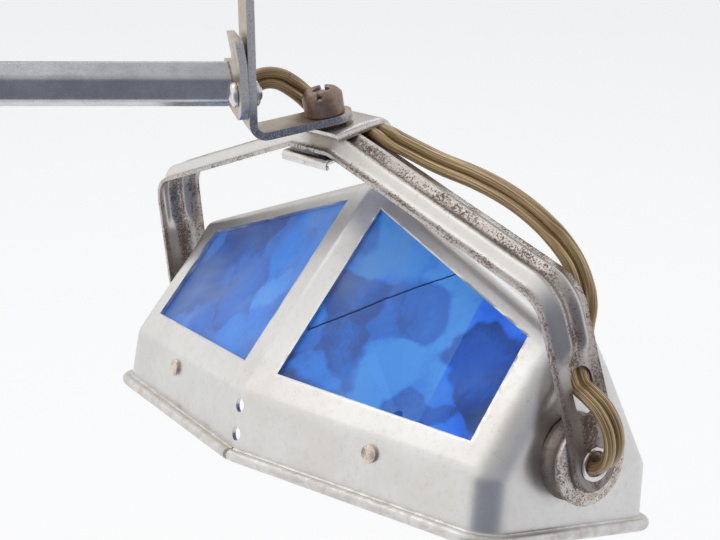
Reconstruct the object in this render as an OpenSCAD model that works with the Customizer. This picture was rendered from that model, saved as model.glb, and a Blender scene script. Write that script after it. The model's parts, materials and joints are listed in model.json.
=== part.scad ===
// Articulated lamp head: a gable-roofed sheet-metal shade with coloured glass panes,
// hung in a ribbed steel yoke, which swivels under a bent bracket at the end of a hexagonal arm.
// Row frame: origin in the middle of the arm's round spigot, +X along the arm to the head, +Z up.

/* [Arm] */
// Distance across the flats of the hexagonal arm tube
arm_flats = 10; // [9.6:0.1:10.4]
// Distance from the middle of the spigot to the axis of the knuckle screw
arm_reach = 77; // [60:1:140]
// Radius of the round spigot at the far end of the arm
spigot_r = 4; // [3.8:0.1:4.2]
// Length of the spigot outside the tube
spigot_len = 14; // [10:1:20]
// Distance of the knuckle screw in front of the arm's axis
screw_offset = 8.4; // [8.2:0.1:8.8]
// Angle between the arm and the knuckle screw, seen from above
knuckle_skew = 14.5; // [12:0.5:16]

/* [Bracket] */
// Width of the bent bracket's strip
strip_w = 10; // [9.5:0.5:10.5]
// Thickness of the strip and of the knuckle plate
strip_t = 1.9; // [1.7:0.1:2.0]
// Height of the strip's upper end above the knuckle screw
strip_top = 56; // [40:1:70]
// Lean of the bracket about the knuckle screw
bracket_lean = -2.6; // [-6:0.2:2]
// Distance from the strip to the swivel bolt
bolt_reach = 18.3; // [17.5:0.1:19.5]
// Drop from the knuckle screw to the tongue's upper face at the bolt
bolt_drop = 6.1; // [5.5:0.1:7]
// Rise of the tongue towards its free end
tongue_rise = 8.6; // [7:0.2:9]
// Turn of the yoke about the swivel bolt
yoke_turn = -67; // [-90:1:-50]

/* [Yoke] */
// Distance from the middle to the outer face of each leg at the pivots
leg_x = 81; // [81:0.2:82]
// Distance from the middle to each corner of the yoke
corner_x = 76.9; // [76.5:0.1:77.5]
// Height of the corners above the pivot axis
corner_h = 40.5; // [40:0.5:43]
// Height of the flat top above the pivot axis
yoke_h = 62.5; // [62:0.5:66]
// Width of the yoke's band
band_w = 13; // [12.6:0.2:13.4]
// Thickness of the band's steel
band_t = 1; // [0.8:0.1:1]
// Height of the two pressed ribs above the band's edges
rib_h = 2.9; // [2.7:0.1:2.9]
// Tilt of the shade in the yoke
shade_tilt = -19.4; // [-30:0.2:0]

/* [Shade] */
// Half of the shade's length at the rim
half_len = 75; // [74:0.5:75]
// Half of the shade's depth at the middle
mid_depth = 39.3; // [38:0.1:40]
// Half of the shade's depth at the ends
end_depth = 24.2; // [23.5:0.1:25]
// Height of the skirt at the middle
skirt_h = 14; // [13:0.5:15]
// Height of the roof at the middle
roof_mid = 65.9; // [64:0.1:66]
// Height of the roof at the ends
roof_end = 41.7; // [41:0.1:43]
// Half of the width of the roof strip
roof_half = 5.2; // [5:0.1:5.6]
// Lean of the end faces, in mm per mm of height
end_lean = 0.055; // [0.04:0.005:0.06]
// Height of the pivot axis above the rim
pivot_h = 16; // [15.5:0.1:16.5]
// Thickness of the shade's sheet metal
sheet_t = 1; // [0.8:0.1:1]
// Thickness of the glass panes
pane_t = 2; // [1.6:0.1:2]

/* [Flex] */
// Diameter of each core of the twin flex
core_d = 2.7; // [2.5:0.1:2.8]

/* [Hidden] */

$fn = 48;
hex_r = arm_flats / 2 / cos(30);
arm_bore_r = 3.55;
spigot_bore_r = 3;
spigot_fit_len = 12;
screw_r = 1.95;
screw_hole_r = 2.0;
bolt_r = 2.0;
bolt_hole_r = 2.05;
link_hole_r = 2.05;
plate_gap = 0.1;
plate_x = -strip_t / 2 - plate_gap - strip_t;
tongue_end = 1.4;
bend_r = 2.1;
clamp_t = 1;
// the lower clamp plate is flat, so it clears the arms that slope down from the yoke's flat top
lower_gap = 0.55;
// height from the band's edges to the tongue's upper face, with the clamp stack between them
stack_h = rib_h + clamp_t + 0.8 + strip_t;
washer_gap = 0.1;
leg_bend_h = 11;
corner_r = 9;
top_flat = 7.7;
top_r = 10;
leg_end_r = 6.5;
disc_r = 10;
disc_t = 1.1;
eyelet_r = 3.3;
eyelet_bore_r = 2.85;
eyelet_flange_r = 4;
cup_bore_r = 3.35;
cup_len = 3.85;
cup_washer_t = 0.75;
fold_end_r = 7;
fold_back_r = 3;
fold_mid_r = 4;
roof_r = 4.4;
strap_x = 41;
strap_z = 12.3;
strap_t = 1;
foot_gap = 0.5;
rivet_z = 9.4;
bulb_z = 24;
bulb_r = 7.5;
bulb_half = 26;
cap_half = 34;
hem_out = 2.6;
hem_h = 3;
seam_holes = [3.5, 10.5];
seam_hole_r = 1.65;
inner_x = half_len - 6.2;
// half of the gap between the twin's cores
core_gap = 0.06;
window = [[7.6, 6.9], [66.3, 6.9], [67.2, 33.7], [11.4, 54.1]];
pane_overlap = 2.2;

// ---------- placing ----------
module at_knuckle() {
    translate([arm_reach, -screw_offset, 0]) rotate([0, 0, knuckle_skew]) children();
}

module at_bracket() {
    at_knuckle() rotate([bracket_lean, 0, 0]) children();
}

module at_bolt() {
    at_bracket() translate([bolt_reach, 0, -bolt_drop]) rotate([0, -tongue_rise, 0]) children();
}

// the yoke's frame: X along the pivot axis, Z up the bolt, origin midway between the pivots
module at_yoke() {
    at_bolt() rotate([0, 0, yoke_turn]) translate([0, 0, -stack_h - yoke_h]) children();
}

// the shade's frame: X along its length, -Y to its front, Z up from the rim
module at_shade() {
    at_yoke() rotate([shade_tilt, 0, 0]) translate([0, 0, -pivot_h]) children();
}

module along_x(x, y = 0, z = 0) {
    translate([x, y, z]) rotate([0, 90, 0]) children();
}

module mirror_pair() {
    children();
    mirror([1, 0, 0]) children();
}

// a round bar or disc along X from x0 to x1
module bar(x0, x1, r) {
    along_x(x0) cylinder(h = x1 - x0, r = r);
}

module tube(x0, x1, r, bore_r) {
    difference() {
        bar(x0, x1, r);
        bar(x0 - 1, x1 + 1, bore_r);
    }
}

// ---------- sweeping ----------
function unit(v) = v / norm(v);
function tangent(p, i) = unit(p[min(i + 1, len(p) - 1)] - p[max(i - 1, 0)]);
function smooth(a, b, c, d, t) =
    0.5 * (2 * b + (c - a) * t + (2 * a - 5 * b + 4 * c - d) * t * t + (3 * b - a - 3 * c + d) * t * t * t);
function refine(p, steps) = [
    for (i = [0 : len(p) - 2], k = [0 : steps - 1])
        smooth(p[max(i - 1, 0)], p[i], p[i + 1], p[min(i + 2, len(p) - 1)], k / steps),
    p[len(p) - 1]];
// rings across the path; each core lies half a twin's width to one side of it
function ring(p, i, side, shift, r) =
    let (t = tangent(p, i), s = unit(side[i] - (side[i] * t) * t), n = cross(t, s))
    [for (k = [0 : 7]) p[i] + s * (shift + r * cos(45 * k)) + n * r * sin(45 * k)];

module core(route, sides, shift, steps) {
    path = refine(route, steps);
    side = refine(sides, steps);
    rings = len(path);
    points = [for (i = [0 : rings - 1]) each ring(path, i, side, shift, core_d / 2)];
    walls = [for (i = [0 : rings - 2], k = [0 : 7])
        [i * 8 + k, i * 8 + (k + 1) % 8, (i + 1) * 8 + (k + 1) % 8, (i + 1) * 8 + k]];
    polyhedron(points, concat([[7, 6, 5, 4, 3, 2, 1, 0]], walls,
        [[for (k = [0 : 7]) (rings - 1) * 8 + k]]));
}

module twin(route, sides, steps = 2) {
    color("darkgoldenrod") {
        core(route, sides, core_d / 2 + core_gap, steps);
        core(route, sides, -core_d / 2 - core_gap, steps);
    }
}

// ---------- arm ----------
// cuts what lies beyond the plane at distance x along the knuckle's axis
module mitre(x) {
    difference() {
        children();
        at_knuckle() translate([x, -50, -50]) cube([100, 100, 100]);
    }
}

module arm_tube() {
    color("lightslategray") mitre(plate_x) difference() {
        along_x(spigot_len / 2) cylinder(h = arm_reach, r = hex_r, $fn = 6);
        bar(-1, arm_reach + 20, arm_bore_r);
    }
}

module arm_spigot() {
    color("silver") difference() {
        union() {
            bar(-spigot_len / 2, spigot_len / 2, spigot_r);
            bar(spigot_len / 2, spigot_len / 2 + spigot_fit_len, arm_bore_r);
        }
        bar(-spigot_len, spigot_len / 2 + spigot_fit_len + 1, spigot_bore_r);
    }
}

module arm_socket_insert() {
    color("dimgray") difference() {
        bar(-spigot_len / 2 + 0.6, 4, spigot_bore_r);
        for (y = [-1.3, 1.3]) along_x(-spigot_len, y) cylinder(h = spigot_len * 2, r = 0.6);
    }
}

module arm_socket_pins() {
    color("goldenrod") for (y = [-1.3, 1.3]) {
        along_x(-spigot_len / 2 + 1, y) cylinder(h = 11, r = 0.6);
    }
}

module knuckle_outline() {
    circle(r = 6);
    translate([-strip_w / 2, 0]) square([strip_w, 9]);
    translate([0, -5.6]) square([14.4, 11.2]);
}

module knuckle_plate() {
    color("gainsboro") at_knuckle() difference() {
        union() {
            translate([plate_x, 0, 0]) rotate([90, 0, 90]) linear_extrude(strip_t) knuckle_outline();
            // the ear that leans away from the strip
            translate([plate_x, -strip_w / 2, 8.6]) rotate([0, -9, 0]) cube([strip_t, strip_w, 5.6]);
        }
        along_x(plate_x - 1) cylinder(h = strip_t + 2, r = screw_r + 0.01);
        // the flex's hole, on the arm's axis
        rotate([0, 0, -knuckle_skew]) along_x(-10, screw_offset) cylinder(h = 20, r = 3.1);
    }
}

module knuckle_screw() {
    color("white") at_knuckle() difference() {
        union() {
            bar(plate_x, strip_t / 2 + 2.0, screw_r);
            intersection() {
                along_x(plate_x + 1.1) sphere(r = 3.1);
                bar(plate_x - 4, plate_x, 2.9);
            }
        }
        translate([plate_x - 2.6, -4, -0.35]) cube([1.2, 8, 0.7]);
    }
}

module knuckle_nut() {
    color("silver") at_knuckle()
        tube(strip_t / 2 + plate_gap, strip_t / 2 + 1.4, 3.1, screw_r + 0.01);
}

// ---------- bracket ----------
// side outline of strip, bend and tongue as [x, z], down one face and back along the other
function bracket_face(x, drop, r) =
    let (tongue_dir = [cos(tongue_rise), sin(tongue_rise)], up = [-tongue_dir.y, tongue_dir.x],
         strip_line = [[x, strip_top + 1], [0, -1]],
         tongue_line = [[bolt_reach, -bolt_drop] - up * drop, tongue_dir],
         corner = crossing(strip_line, tongue_line),
         tip = tongue_line[0] + tongue_dir * (tongue_end + strip_w / 2 + 1))
    concat([strip_line[0]], fillet(strip_line[0], corner, tip, r, 8), [tip]);
function backwards(p) = [for (i = [len(p) - 1 : -1 : 0]) p[i]];

// what rounding takes off a strip that ends towards +X; its round end is centred on the origin
module corners_off() {
    difference() {
        translate([0, -strip_w, -4]) cube([strip_w, strip_w * 2, 8]);
        translate([0, 0, -5]) cylinder(h = 10, r = strip_w * 0.51);
    }
}

module swivel_bracket() {
    outline = concat(
        bracket_face(strip_t / 2, 0, bend_r),
        backwards(bracket_face(-strip_t / 2, strip_t, bend_r + strip_t)));
    color("silver") difference() {
        at_bracket() translate([0, strip_w / 2, 0]) rotate([90, 0, 0])
            linear_extrude(strip_w) polygon(outline);
        at_bracket() translate([0, 0, strip_top - strip_w / 2]) rotate([0, -90, 0]) corners_off();
        at_bolt() translate([tongue_end, 0, 0]) corners_off();
        at_bracket() along_x(-5) cylinder(h = 10, r = screw_hole_r);
        at_bracket() along_x(-5, 0, strip_top - strip_w / 2) cylinder(h = 10, r = link_hole_r);
        at_bolt() translate([0, 0, -5]) cylinder(h = 10, r = bolt_r + 0.01);
    }
}

module clamp_bolt() {
    head_z = -stack_h - band_t - lower_gap - clamp_t - 2.2;
    color("saddlebrown") at_bolt() difference() {
        union() {
            translate([0, 0, head_z]) cylinder(h = 2.1, r1 = 3.4, r2 = 4);
            translate([0, 0, head_z + 2]) cylinder(h = 3 - head_z, r = bolt_r);
        }
        translate([-5, -0.5, head_z - 0.6]) cube([10, 1, 1.5]);
    }
}

module slotted_nut() {
    color("sienna") at_bolt() difference() {
        union() {
            cylinder(h = 4.6, r = 4.9);
            translate([0, 0, 4.6]) cylinder(h = 1.6, r1 = 4.9, r2 = 3.6);
        }
        translate([0, 0, -1]) cylinder(h = 9, r = bolt_r + 0.01);
        rotate([0, 0, 70]) translate([-6, -0.6, 4.4]) cube([12, 1.2, 3]);
    }
}

module friction_washer() {
    color("dimgray") at_bolt() difference() {
        translate([0, 0, -strip_t - 0.7]) cylinder(h = 0.7 - washer_gap / 2, r = 4.6);
        translate([0, 0, -5]) cylinder(h = 10, r = bolt_r + 0.05);
    }
}

// ---------- yoke ----------
// outline of the right half, as [x, z] of the band's outer face, from leg end to the middle
function turn_from(a, b, c) = let (u = unit(b - a), v = unit(c - b)) atan2(u.x * v.y - u.y * v.x, u * v);
function fillet(a, b, c, r, steps) =
    let (u = unit(b - a), v = unit(c - b), half = turn_from(a, b, c) / 2, reach = r * tan(abs(half)),
         side = half > 0 ? 1 : -1, centre = b - u * reach + [-u.y, u.x] * side * r)
    [for (i = [0 : steps])
        let (w = 2 * half * i / steps, e = -[-u.y, u.x] * side * r)
        centre + [e.x * cos(w) - e.y * sin(w), e.x * sin(w) + e.y * cos(w)]];
leg_end = [leg_x, 0];
leg_bend = [leg_x, leg_bend_h];
corner = [corner_x, corner_h];
top_edge = [top_flat, yoke_h];
// the band's outer face moved inwards by d; radii shrink with it
function shifted(p, q, d) = let (u = unit(q - p)) [p + [-u.y, u.x] * d, u];
function crossing(l, m) =
    let (k = ((m[0].x - l[0].x) * m[1].y - (m[0].y - l[0].y) * m[1].x) / (l[1].x * m[1].y - l[1].y * m[1].x))
    l[0] + l[1] * k;
function half_path(d) =
    let (leg = shifted(leg_end, leg_bend, d), lean = shifted(leg_bend, corner, d),
         arm = shifted(corner, top_edge, d), top = shifted(top_edge, [-top_flat, yoke_h], d),
         b = crossing(leg, lean), c = crossing(lean, arm), e = crossing(arm, top), a = [b.x, 0])
    concat([a], [b], fillet(b, c, e, corner_r - d, 8), fillet(c, e, [0, e.y], top_r - d, 3));
function flip(p) = [for (q = backwards(p)) [-q.x, q.y]];

// a strip of the band: from y0 to y1 across it, from outer offset d0 to d1, above height z0
module band_layer(y0, y1, d0, d1, z0) {
    outer = half_path(d0);
    inner = half_path(d1);
    outline = concat(outer, flip(outer), backwards(concat(inner, flip(inner))));
    translate([0, y1, 0]) rotate([90, 0, 0]) intersection() {
        linear_extrude(y1 - y0) polygon(outline);
        translate([-leg_x - 10, z0, -1]) cube([2 * leg_x + 20, 200, y1 - y0 + 2]);
    }
}

module yoke() {
    color("rosybrown") at_yoke() difference() {
        union() {
            band_layer(-band_w / 2, band_w / 2, 0, band_t, 0);
            for (y = [-4.7, 1.5]) band_layer(y, y + 3.2, -rib_h, 0.01, 25);
            // round lower ends of the legs
            for (x = [-leg_x, leg_x - band_t]) bar(x, x + band_t, leg_end_r);
        }
        bar(-leg_x - 1, leg_x + 1, eyelet_r + 0.01);
        // the flex's slot in the right leg
        for (z = [15, 20]) along_x(leg_x - 5, 0.3, z) cylinder(h = 10, r = 3.1);
        translate([leg_x - 5, -2.8, 15]) cube([10, 6.2, 5]);
        translate([0, 0, yoke_h - 5]) cylinder(h = 12, r = bolt_hole_r);
    }
}

module upper_clamp_plate() {
    z = yoke_h + rib_h;
    color("gainsboro") at_yoke() difference() {
        union() {
            translate([-6, -7, z]) cube([14.5, 18.6, clamp_t]);
            // hook over the flex at the back
            translate([-2, 10.8, yoke_h - 0.6]) cube([10.5, 0.8, rib_h + 0.8]);
            // down-curled right edge
            translate([8.5, -3, z + clamp_t]) rotate([-90, 0, 0]) intersection() {
                cylinder(h = 14.6, r = clamp_t);
                cube([2, 2, 14.6]);
            }
        }
        translate([0, 0, z - 1]) cylinder(h = 4, r = bolt_hole_r);
    }
}

module lower_clamp_plate() {
    z = yoke_h - band_t - lower_gap - clamp_t;
    color("silver") at_yoke() difference() {
        union() {
            translate([-9, -8.4, z]) cube([18, 15.9, clamp_t]);
            translate([-9, -8.4, z - 2.8]) cube([18, 1, 3]);
        }
        translate([0, 0, z - 1]) cylinder(h = 4, r = bolt_hole_r);
    }
}

module leg_disc() {
    color("peru") at_yoke() tube(leg_x - band_t - disc_t, leg_x - band_t, disc_r, eyelet_r + 0.01);
}

module leg_disc_right() {
    leg_disc();
}

module leg_disc_left() {
    color("peru") at_yoke() mirror([1, 0, 0])
        tube(leg_x - band_t - disc_t, leg_x - band_t, disc_r, eyelet_r + 0.01);
}

module pivot_eyelet_right() {
    color("silver") at_yoke() difference() {
        union() {
            bar(inner_x, leg_x + 0.5, eyelet_r);
            bar(leg_x, leg_x + 0.7, eyelet_flange_r);
        }
        bar(inner_x - 1, leg_x + 5, eyelet_bore_r);
    }
}

module pivot_rivet_left() {
    color("silver") at_yoke() mirror([1, 0, 0]) {
        bar(inner_x, leg_x + 0.5, eyelet_r);
        intersection() {
            along_x(leg_x - 1.6) sphere(r = 5);
            bar(leg_x, leg_x + 4, 4.6);
        }
    }
}

module inner_washer() {
    tube(inner_x + 0.1, inner_x + 0.9, 5.4, eyelet_r + 0.01);
}

module inner_washer_right() {
    color("silver") at_yoke() inner_washer();
}

module inner_washer_left() {
    color("silver") at_yoke() mirror([1, 0, 0]) inner_washer();
}

// ---------- shade ----------
function plane(a, b, c) = let (n = unit(cross(b - a, c - a))) [n, n * a];
function inset(p, d) = [p[0], p[1] - d];
function meet(p, q, r) =
    (p[1] * cross(q[0], r[0]) + q[1] * cross(r[0], p[0]) + r[1] * cross(p[0], q[0]))
    / (p[0] * cross(q[0], r[0]));
function end_at(z) = half_len - end_lean * z;
middle = [[1, 0, 0], 0];
skirt = plane([0, -mid_depth, 0], [half_len, -end_depth, 0], [0, -mid_depth + 0.4, skirt_h]);
face = plane([0, -mid_depth + 0.4, skirt_h], [end_at(roof_end), -roof_half, roof_end],
    [0, -roof_half, roof_mid]);
roof = plane([0, 0, roof_mid], [0, -roof_half, roof_mid], [end_at(roof_end), 0, roof_end]);
end_plane = plane([half_len, 0, 0], [half_len, 1, 0], [end_at(10), 0, 10]);
below = [[0, 0, 1], -12];
// a plane that a ball touches from inside; the middle and the cut below the rim go through its centre
function touched(p, r) = p == middle || p == below ? p : inset(p, r);
function ball(a, b, c, r) = [meet(touched(a, r), touched(b, r), touched(c, r)), r];
function balls(end_r) = [
    ball(below, skirt, end_plane, end_r), ball(middle, skirt, below, fold_mid_r),
    ball(skirt, face, end_plane, end_r), ball(middle, skirt, face, fold_mid_r),
    ball(face, roof, end_plane, roof_r), ball(middle, face, roof, roof_r)];
face_origin = meet(middle, skirt, face);
face_u = unit(meet(skirt, face, end_plane) - face_origin);
face_v = cross(face[0], face_u);

module shade_hull(shrink) {
    hull() for (sy = [-1, 1], b = balls(sy < 0 ? fold_end_r : fold_back_r), sx = [-1, 1]) {
        translate([b[0].x * sx, b[0].y * sy, b[0].z]) sphere(r = b[1] - shrink, $fn = 32);
    }
}

// puts its children on the front right face: X along the fold, Y up the face, Z out
module on_face() {
    u = face_u;
    v = face_v;
    n = face[0];
    o = face_origin;
    multmatrix([[u.x, v.x, n.x, o.x], [u.y, v.y, n.y, o.y], [u.z, v.z, n.z, o.z], [0, 0, 0, 1]]) children();
}

module on_side(sx, sy) {
    mirror([sx < 0 ? 1 : 0, 0, 0]) mirror([0, sy > 0 ? 1 : 0, 0]) children();
}

module every_side() {
    for (sx = [-1, 1], sy = [-1, 1]) on_side(sx, sy) children();
}

// the window's outline with each side moved out by d
function grown(q, d) = [for (i = [0 : 3])
    crossing(shifted(q[(i + 3) % 4], q[i], -d), shifted(q[i], q[(i + 1) % 4], -d))];

// puts its children on the skirt at distance x from the middle and height z, with Z pointing out
module on_skirt(x, z) {
    yaw = atan2(mid_depth - end_depth, half_len);
    y = -mid_depth + (mid_depth - end_depth) * x / half_len + 0.4 * z / skirt_h;
    translate([x, y, z]) rotate([0, 0, yaw]) rotate([90, 0, 0]) children();
}

module shade_shell() {
    color("lightgray") at_shade() difference() {
        shade_hull(0);
        shade_hull(sheet_t);
        translate([-100, -100, -60 - hem_h]) cube([200, 200, 60]);
        every_side() on_face() translate([0, 0, -4]) linear_extrude(8) polygon(window);
        bar_z(-100, 100, 3.6);
        for (z = seam_holes) {
            translate([0, -mid_depth + 6, z]) rotate([90, 0, 0]) cylinder(h = 12, r = seam_hole_r);
        }
        every_side() on_skirt(strap_x, rivet_z) translate([0, 0, -4]) cylinder(h = 8, r = 1.25);
    }
}

module bar_z(x0, x1, r) {
    translate([0, 0, pivot_h]) bar(x0, x1, r);
}

module rim_hem() {
    color("darkgray") at_shade() difference() {
        hull() for (sx = [-1, 1], sy = [-1, 1], c = [[0, mid_depth], [half_len, end_depth]]) {
            translate([(c.x - 5) * sx, (c.y - 5) * sy, 0.8 - hem_h])
                cylinder(h = hem_h - 1.6, r = 5 + hem_out, $fn = 32);
            translate([(c.x - 5) * sx, (c.y - 5) * sy, -hem_h])
                cylinder(h = hem_h, r = 5 + hem_out - 0.8, $fn = 32);
        }
        shade_hull(0);
    }
}

module shade_rivets() {
    color("tan") at_shade() every_side() on_skirt(strap_x, rivet_z) {
        translate([0, 0, -3]) cylinder(h = 3.2, r = 1.2);
        cylinder(h = 0.7, r1 = 2.2, r2 = 1.8);
        translate([0, 0, -3.2]) cylinder(h = 0.65, r = 1.7);
    }
}

cup_x = end_at(pivot_h) + 0.1;
module pivot_cup() {
    translate([0, 0, pivot_h]) difference() {
        intersection() {
            bar(cup_x - 0.4, cup_x + cup_len, disc_r);
            along_x(cup_x - 3.5) sphere(r = 12.8);
        }
        bar(cup_x - 2, cup_x + cup_len + 1, cup_bore_r);
        translate([cup_x, 0, 0]) rotate([0, -atan(end_lean), 0]) translate([-5, -15, -15]) cube([5, 30, 30]);
    }
}

module pivot_cup_right() {
    color("gray") at_shade() pivot_cup();
}

module pivot_cup_left() {
    color("gray") at_shade() mirror([1, 0, 0]) pivot_cup();
}

module cup_washer() {
    translate([0, 0, pivot_h])
        tube(cup_x + cup_len, cup_x + cup_len + cup_washer_t, 9.5, cup_bore_r);
}

module cup_washer_right() {
    color("white") at_shade() cup_washer();
}

module cup_washer_left() {
    color("white") at_shade() mirror([1, 0, 0]) cup_washer();
}

module pane(sx, sy) {
    color("royalblue", 0.7) at_shade() on_side(sx, sy) on_face()
        translate([0, 0, -sheet_t - pane_t - 0.05]) linear_extrude(pane_t)
        polygon(grown(window, pane_overlap));
}

module pane_front_left() {
    pane(-1, -1);
}

module pane_front_right() {
    pane(1, -1);
}

module pane_back_left() {
    pane(-1, 1);
}

module pane_back_right() {
    pane(1, 1);
}

// a spring clip: a foot on the sheet and a tongue behind the glass
module clip() {
    translate([-3, 1.4, -sheet_t - 0.85]) cube([6, 3, 0.8]);
    translate([-3, 3.7, -sheet_t - pane_t - 0.95]) cube([6, 0.7, pane_t + 0.9]);
    translate([-3, 3.7, -sheet_t - pane_t - 0.95]) cube([6, 5, 0.8]);
}

module pane_clips() {
    color("silver") at_shade() every_side() on_face() {
        for (x = [20, 52]) translate([x, 0, 0]) clip();
        translate([74, 20, 0]) rotate([0, 0, 90]) clip();
    }
}

// half the distance between the two feet of a strap, at distance x from the middle
function foot_y(x) =
    mid_depth - (mid_depth - end_depth) * x / half_len - sheet_t - foot_gap - strap_t / 2;

module lamp_bracket() {
    ends = [[-5, -1], [5, -1], [5, 1], [-5, 1]];
    difference() {
        union() {
            translate([0, 0, strap_z - strap_t]) linear_extrude(strap_t)
                polygon([for (e = ends) [strap_x + e.x, e.y * foot_y(strap_x + e.x)]]);
            for (sy = [-1, 1]) on_side(1, sy) on_skirt(strap_x, 0)
                translate([-5, 4, -sheet_t - foot_gap - strap_t]) cube([10, strap_z - 4, strap_t]);
        }
        for (sy = [-1, 1]) {
            on_side(1, sy) on_skirt(strap_x, rivet_z) translate([0, 0, -4]) cylinder(h = 8, r = 1.21);
        }
    }
}

module lamp_bracket_right() {
    color("silver") at_shade() lamp_bracket();
}

module lamp_bracket_left() {
    color("silver") at_shade() mirror([1, 0, 0]) lamp_bracket();
}

module lamp_holder() {
    difference() {
        translate([cap_half + 3.4, -7, strap_z + 0.02]) cube([9, 14, 17]);
        for (y = [-4, 4]) along_x(cap_half, y, bulb_z + 2.5) cylinder(h = 30, r = 1.3);
    }
}

module lamp_holder_right() {
    color("antiquewhite") at_shade() lamp_holder();
}

module lamp_holder_left() {
    color("antiquewhite") at_shade() mirror([1, 0, 0]) lamp_holder();
}

module lamp_contact() {
    difference() {
        translate([cap_half + 2.5, -5.5, 18.5]) cube([0.8, 11, 10]);
        for (y = [-4, 4]) along_x(cap_half, y, bulb_z + 2.5) cylinder(h = 30, r = 1.3);
        along_x(cap_half, 0, bulb_z) cylinder(h = 10, r = 1.6);
    }
}

module lamp_contact_right() {
    color("goldenrod") at_shade() lamp_contact();
}

module lamp_contact_left() {
    color("goldenrod") at_shade() mirror([1, 0, 0]) lamp_contact();
}

module contact_screws() {
    color("goldenrod") at_shade() mirror_pair() for (y = [-4, 4]) {
        along_x(cap_half + 1.4, y, bulb_z + 2.5) cylinder(h = 1.1, r = 1.9);
        along_x(cap_half + 2.4, y, bulb_z + 2.5) cylinder(h = 9, r = 1.2);
    }
}

module lamp_glass() {
    color("white", 0.5) at_shade() translate([0, 0, bulb_z]) difference() {
        union() {
            bar(-bulb_half, bulb_half, bulb_r);
            for (x = [-bulb_half, bulb_half]) along_x(x) sphere(r = bulb_r);
        }
        bar(-bulb_half, bulb_half, bulb_r - 0.8);
        for (x = [-bulb_half, bulb_half]) along_x(x) sphere(r = bulb_r - 0.8);
        for (x = [-60, 32]) bar(x, x + 28, bulb_r + 1);
    }
}

module lamp_cap() {
    translate([0, 0, bulb_z]) {
        bar(32.1, cap_half, 3.9);
        along_x(cap_half) cylinder(h = 3, r1 = 3.9, r2 = 1.2);
    }
}

module lamp_cap_right() {
    color("silver") at_shade() lamp_cap();
}

module lamp_cap_left() {
    color("silver") at_shade() mirror([1, 0, 0]) lamp_cap();
}

module lamp_filament() {
    color("dimgray") at_shade() translate([0, 0, bulb_z]) {
        bar(-24, 24, 0.5);
        mirror_pair() bar(24, 32, 0.35);
    }
}

// ---------- flex ----------
// routes and the direction that the twin's two cores lie in, as points chosen by hand
arm_route = [[9, 0, 0], [30, 0, 0], [55, 0, 0], [72, 0, 0], [78.6, 0, 1]];
arm_sides = [for (p = arm_route) [0, 0, 1]];
bridge_route = [
    [-16.4, 8, 8.2], [-13.8, 7.8, 9.2], [-11, 7.3, 9.6], [-8.1, 7.4, 8.6], [-5.4, 8, 6.3],
    [-3, 9.1, 3.4], [-1.4, 9.9, 1.3]];
bridge_sides = [[0, 0, 1], [0, 0, 1], [0, 0, 1], [0.2, 0, 1], [0.5, 0, 1], [0.8, 0.4, 0.6], [1, 0.4, 0.2]];
yoke_route = [
    [-9.9, 4.5, 67.6], [-10.2, 5.5, 66], [-9.4, 7, 64.5], [-6.4, 7.7, 64], [0, 7.7, 64],
    [8, 7.8, 63.8], [19, 8, 61.4], [31, 8.2, 59], [43, 8.2, 57.6], [52, 8.2, 55.8],
    [59, 8.3, 53.4], [65, 8.5, 50.2], [69.4, 8.7, 46.6], [72.4, 8.8, 42.8], [74.2, 8.8, 38.4],
    [75, 8.4, 33.8], [75.3, 6.8, 29.6], [76, 4, 25.4], [77, 1.6, 21.6], [79.2, 0.3, 18.6],
    [82.4, 0, 17.2], [85.8, 0, 15], [87.8, 0.2, 11], [87.8, 0.3, 6.4], [85.8, 0.2, 2.2],
    [82.6, 0, 0.2], [79, 0, 0], [74, 0, 0], [68, 0, 0]];
flat = [0, 1, 0.05];
up = [0, 0.5, 1];
yoke_sides = [
    [0, 1, 0.2], [0, 1, 0.2], [0.2, 1, 0.1], flat, flat, flat,
    up, up, up, up, up, up,
    [0.3, 1, 0.6], [0.3, 1, 0.3], [0.6, 1, 0.2], [1, 0.6, 0], [1, 0.3, 0], [0.6, 1, 0],
    [0, 1, 0.3],
    flat, flat, flat, flat, flat, flat, flat, flat, flat, flat];
right_route = [[67.6, 0, 16], [65.6, 0, 16], [61.5, -1, 16.6], [56, -3, 18.4], [51, -4, 22], [46.6, -4, 24]];
left_route = [
    [67.6, 0, 16], [65, 0.3, 16], [59, 6, 13.6], [52, 15, 10.4], [44, 20.5, 8], [30, 23, 7.6],
    [0, 24, 7.6], [-30, 23, 7.6], [-44, 20, 8], [-53, 14, 10], [-58.5, 8, 14.5], [-58, 4.5, 20],
    [-53, 4, 23.6], [-46.6, 4, 24]];

module flex_in_arm() {
    mitre(-strip_t / 2 - plate_gap) twin(arm_route, arm_sides, 1);
}

module flex_bridge() {
    difference() {
        at_bolt() twin(bridge_route, bridge_sides);
        at_knuckle() translate([-strip_t / 2 - 50, -50, -50]) cube([50, 100, 100]);
    }
}

module flex_on_yoke() {
    at_yoke() twin(yoke_route, yoke_sides);
}

module lead_right() {
    color("darkgoldenrod") at_shade() core(right_route, [for (p = right_route) [0, 1, 0]], -1.37, 2);
}

module lead_left() {
    color("darkgoldenrod") at_shade() core(left_route, [for (p = left_route) [0.3, 1, 0]], 1.37, 2);
}

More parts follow.
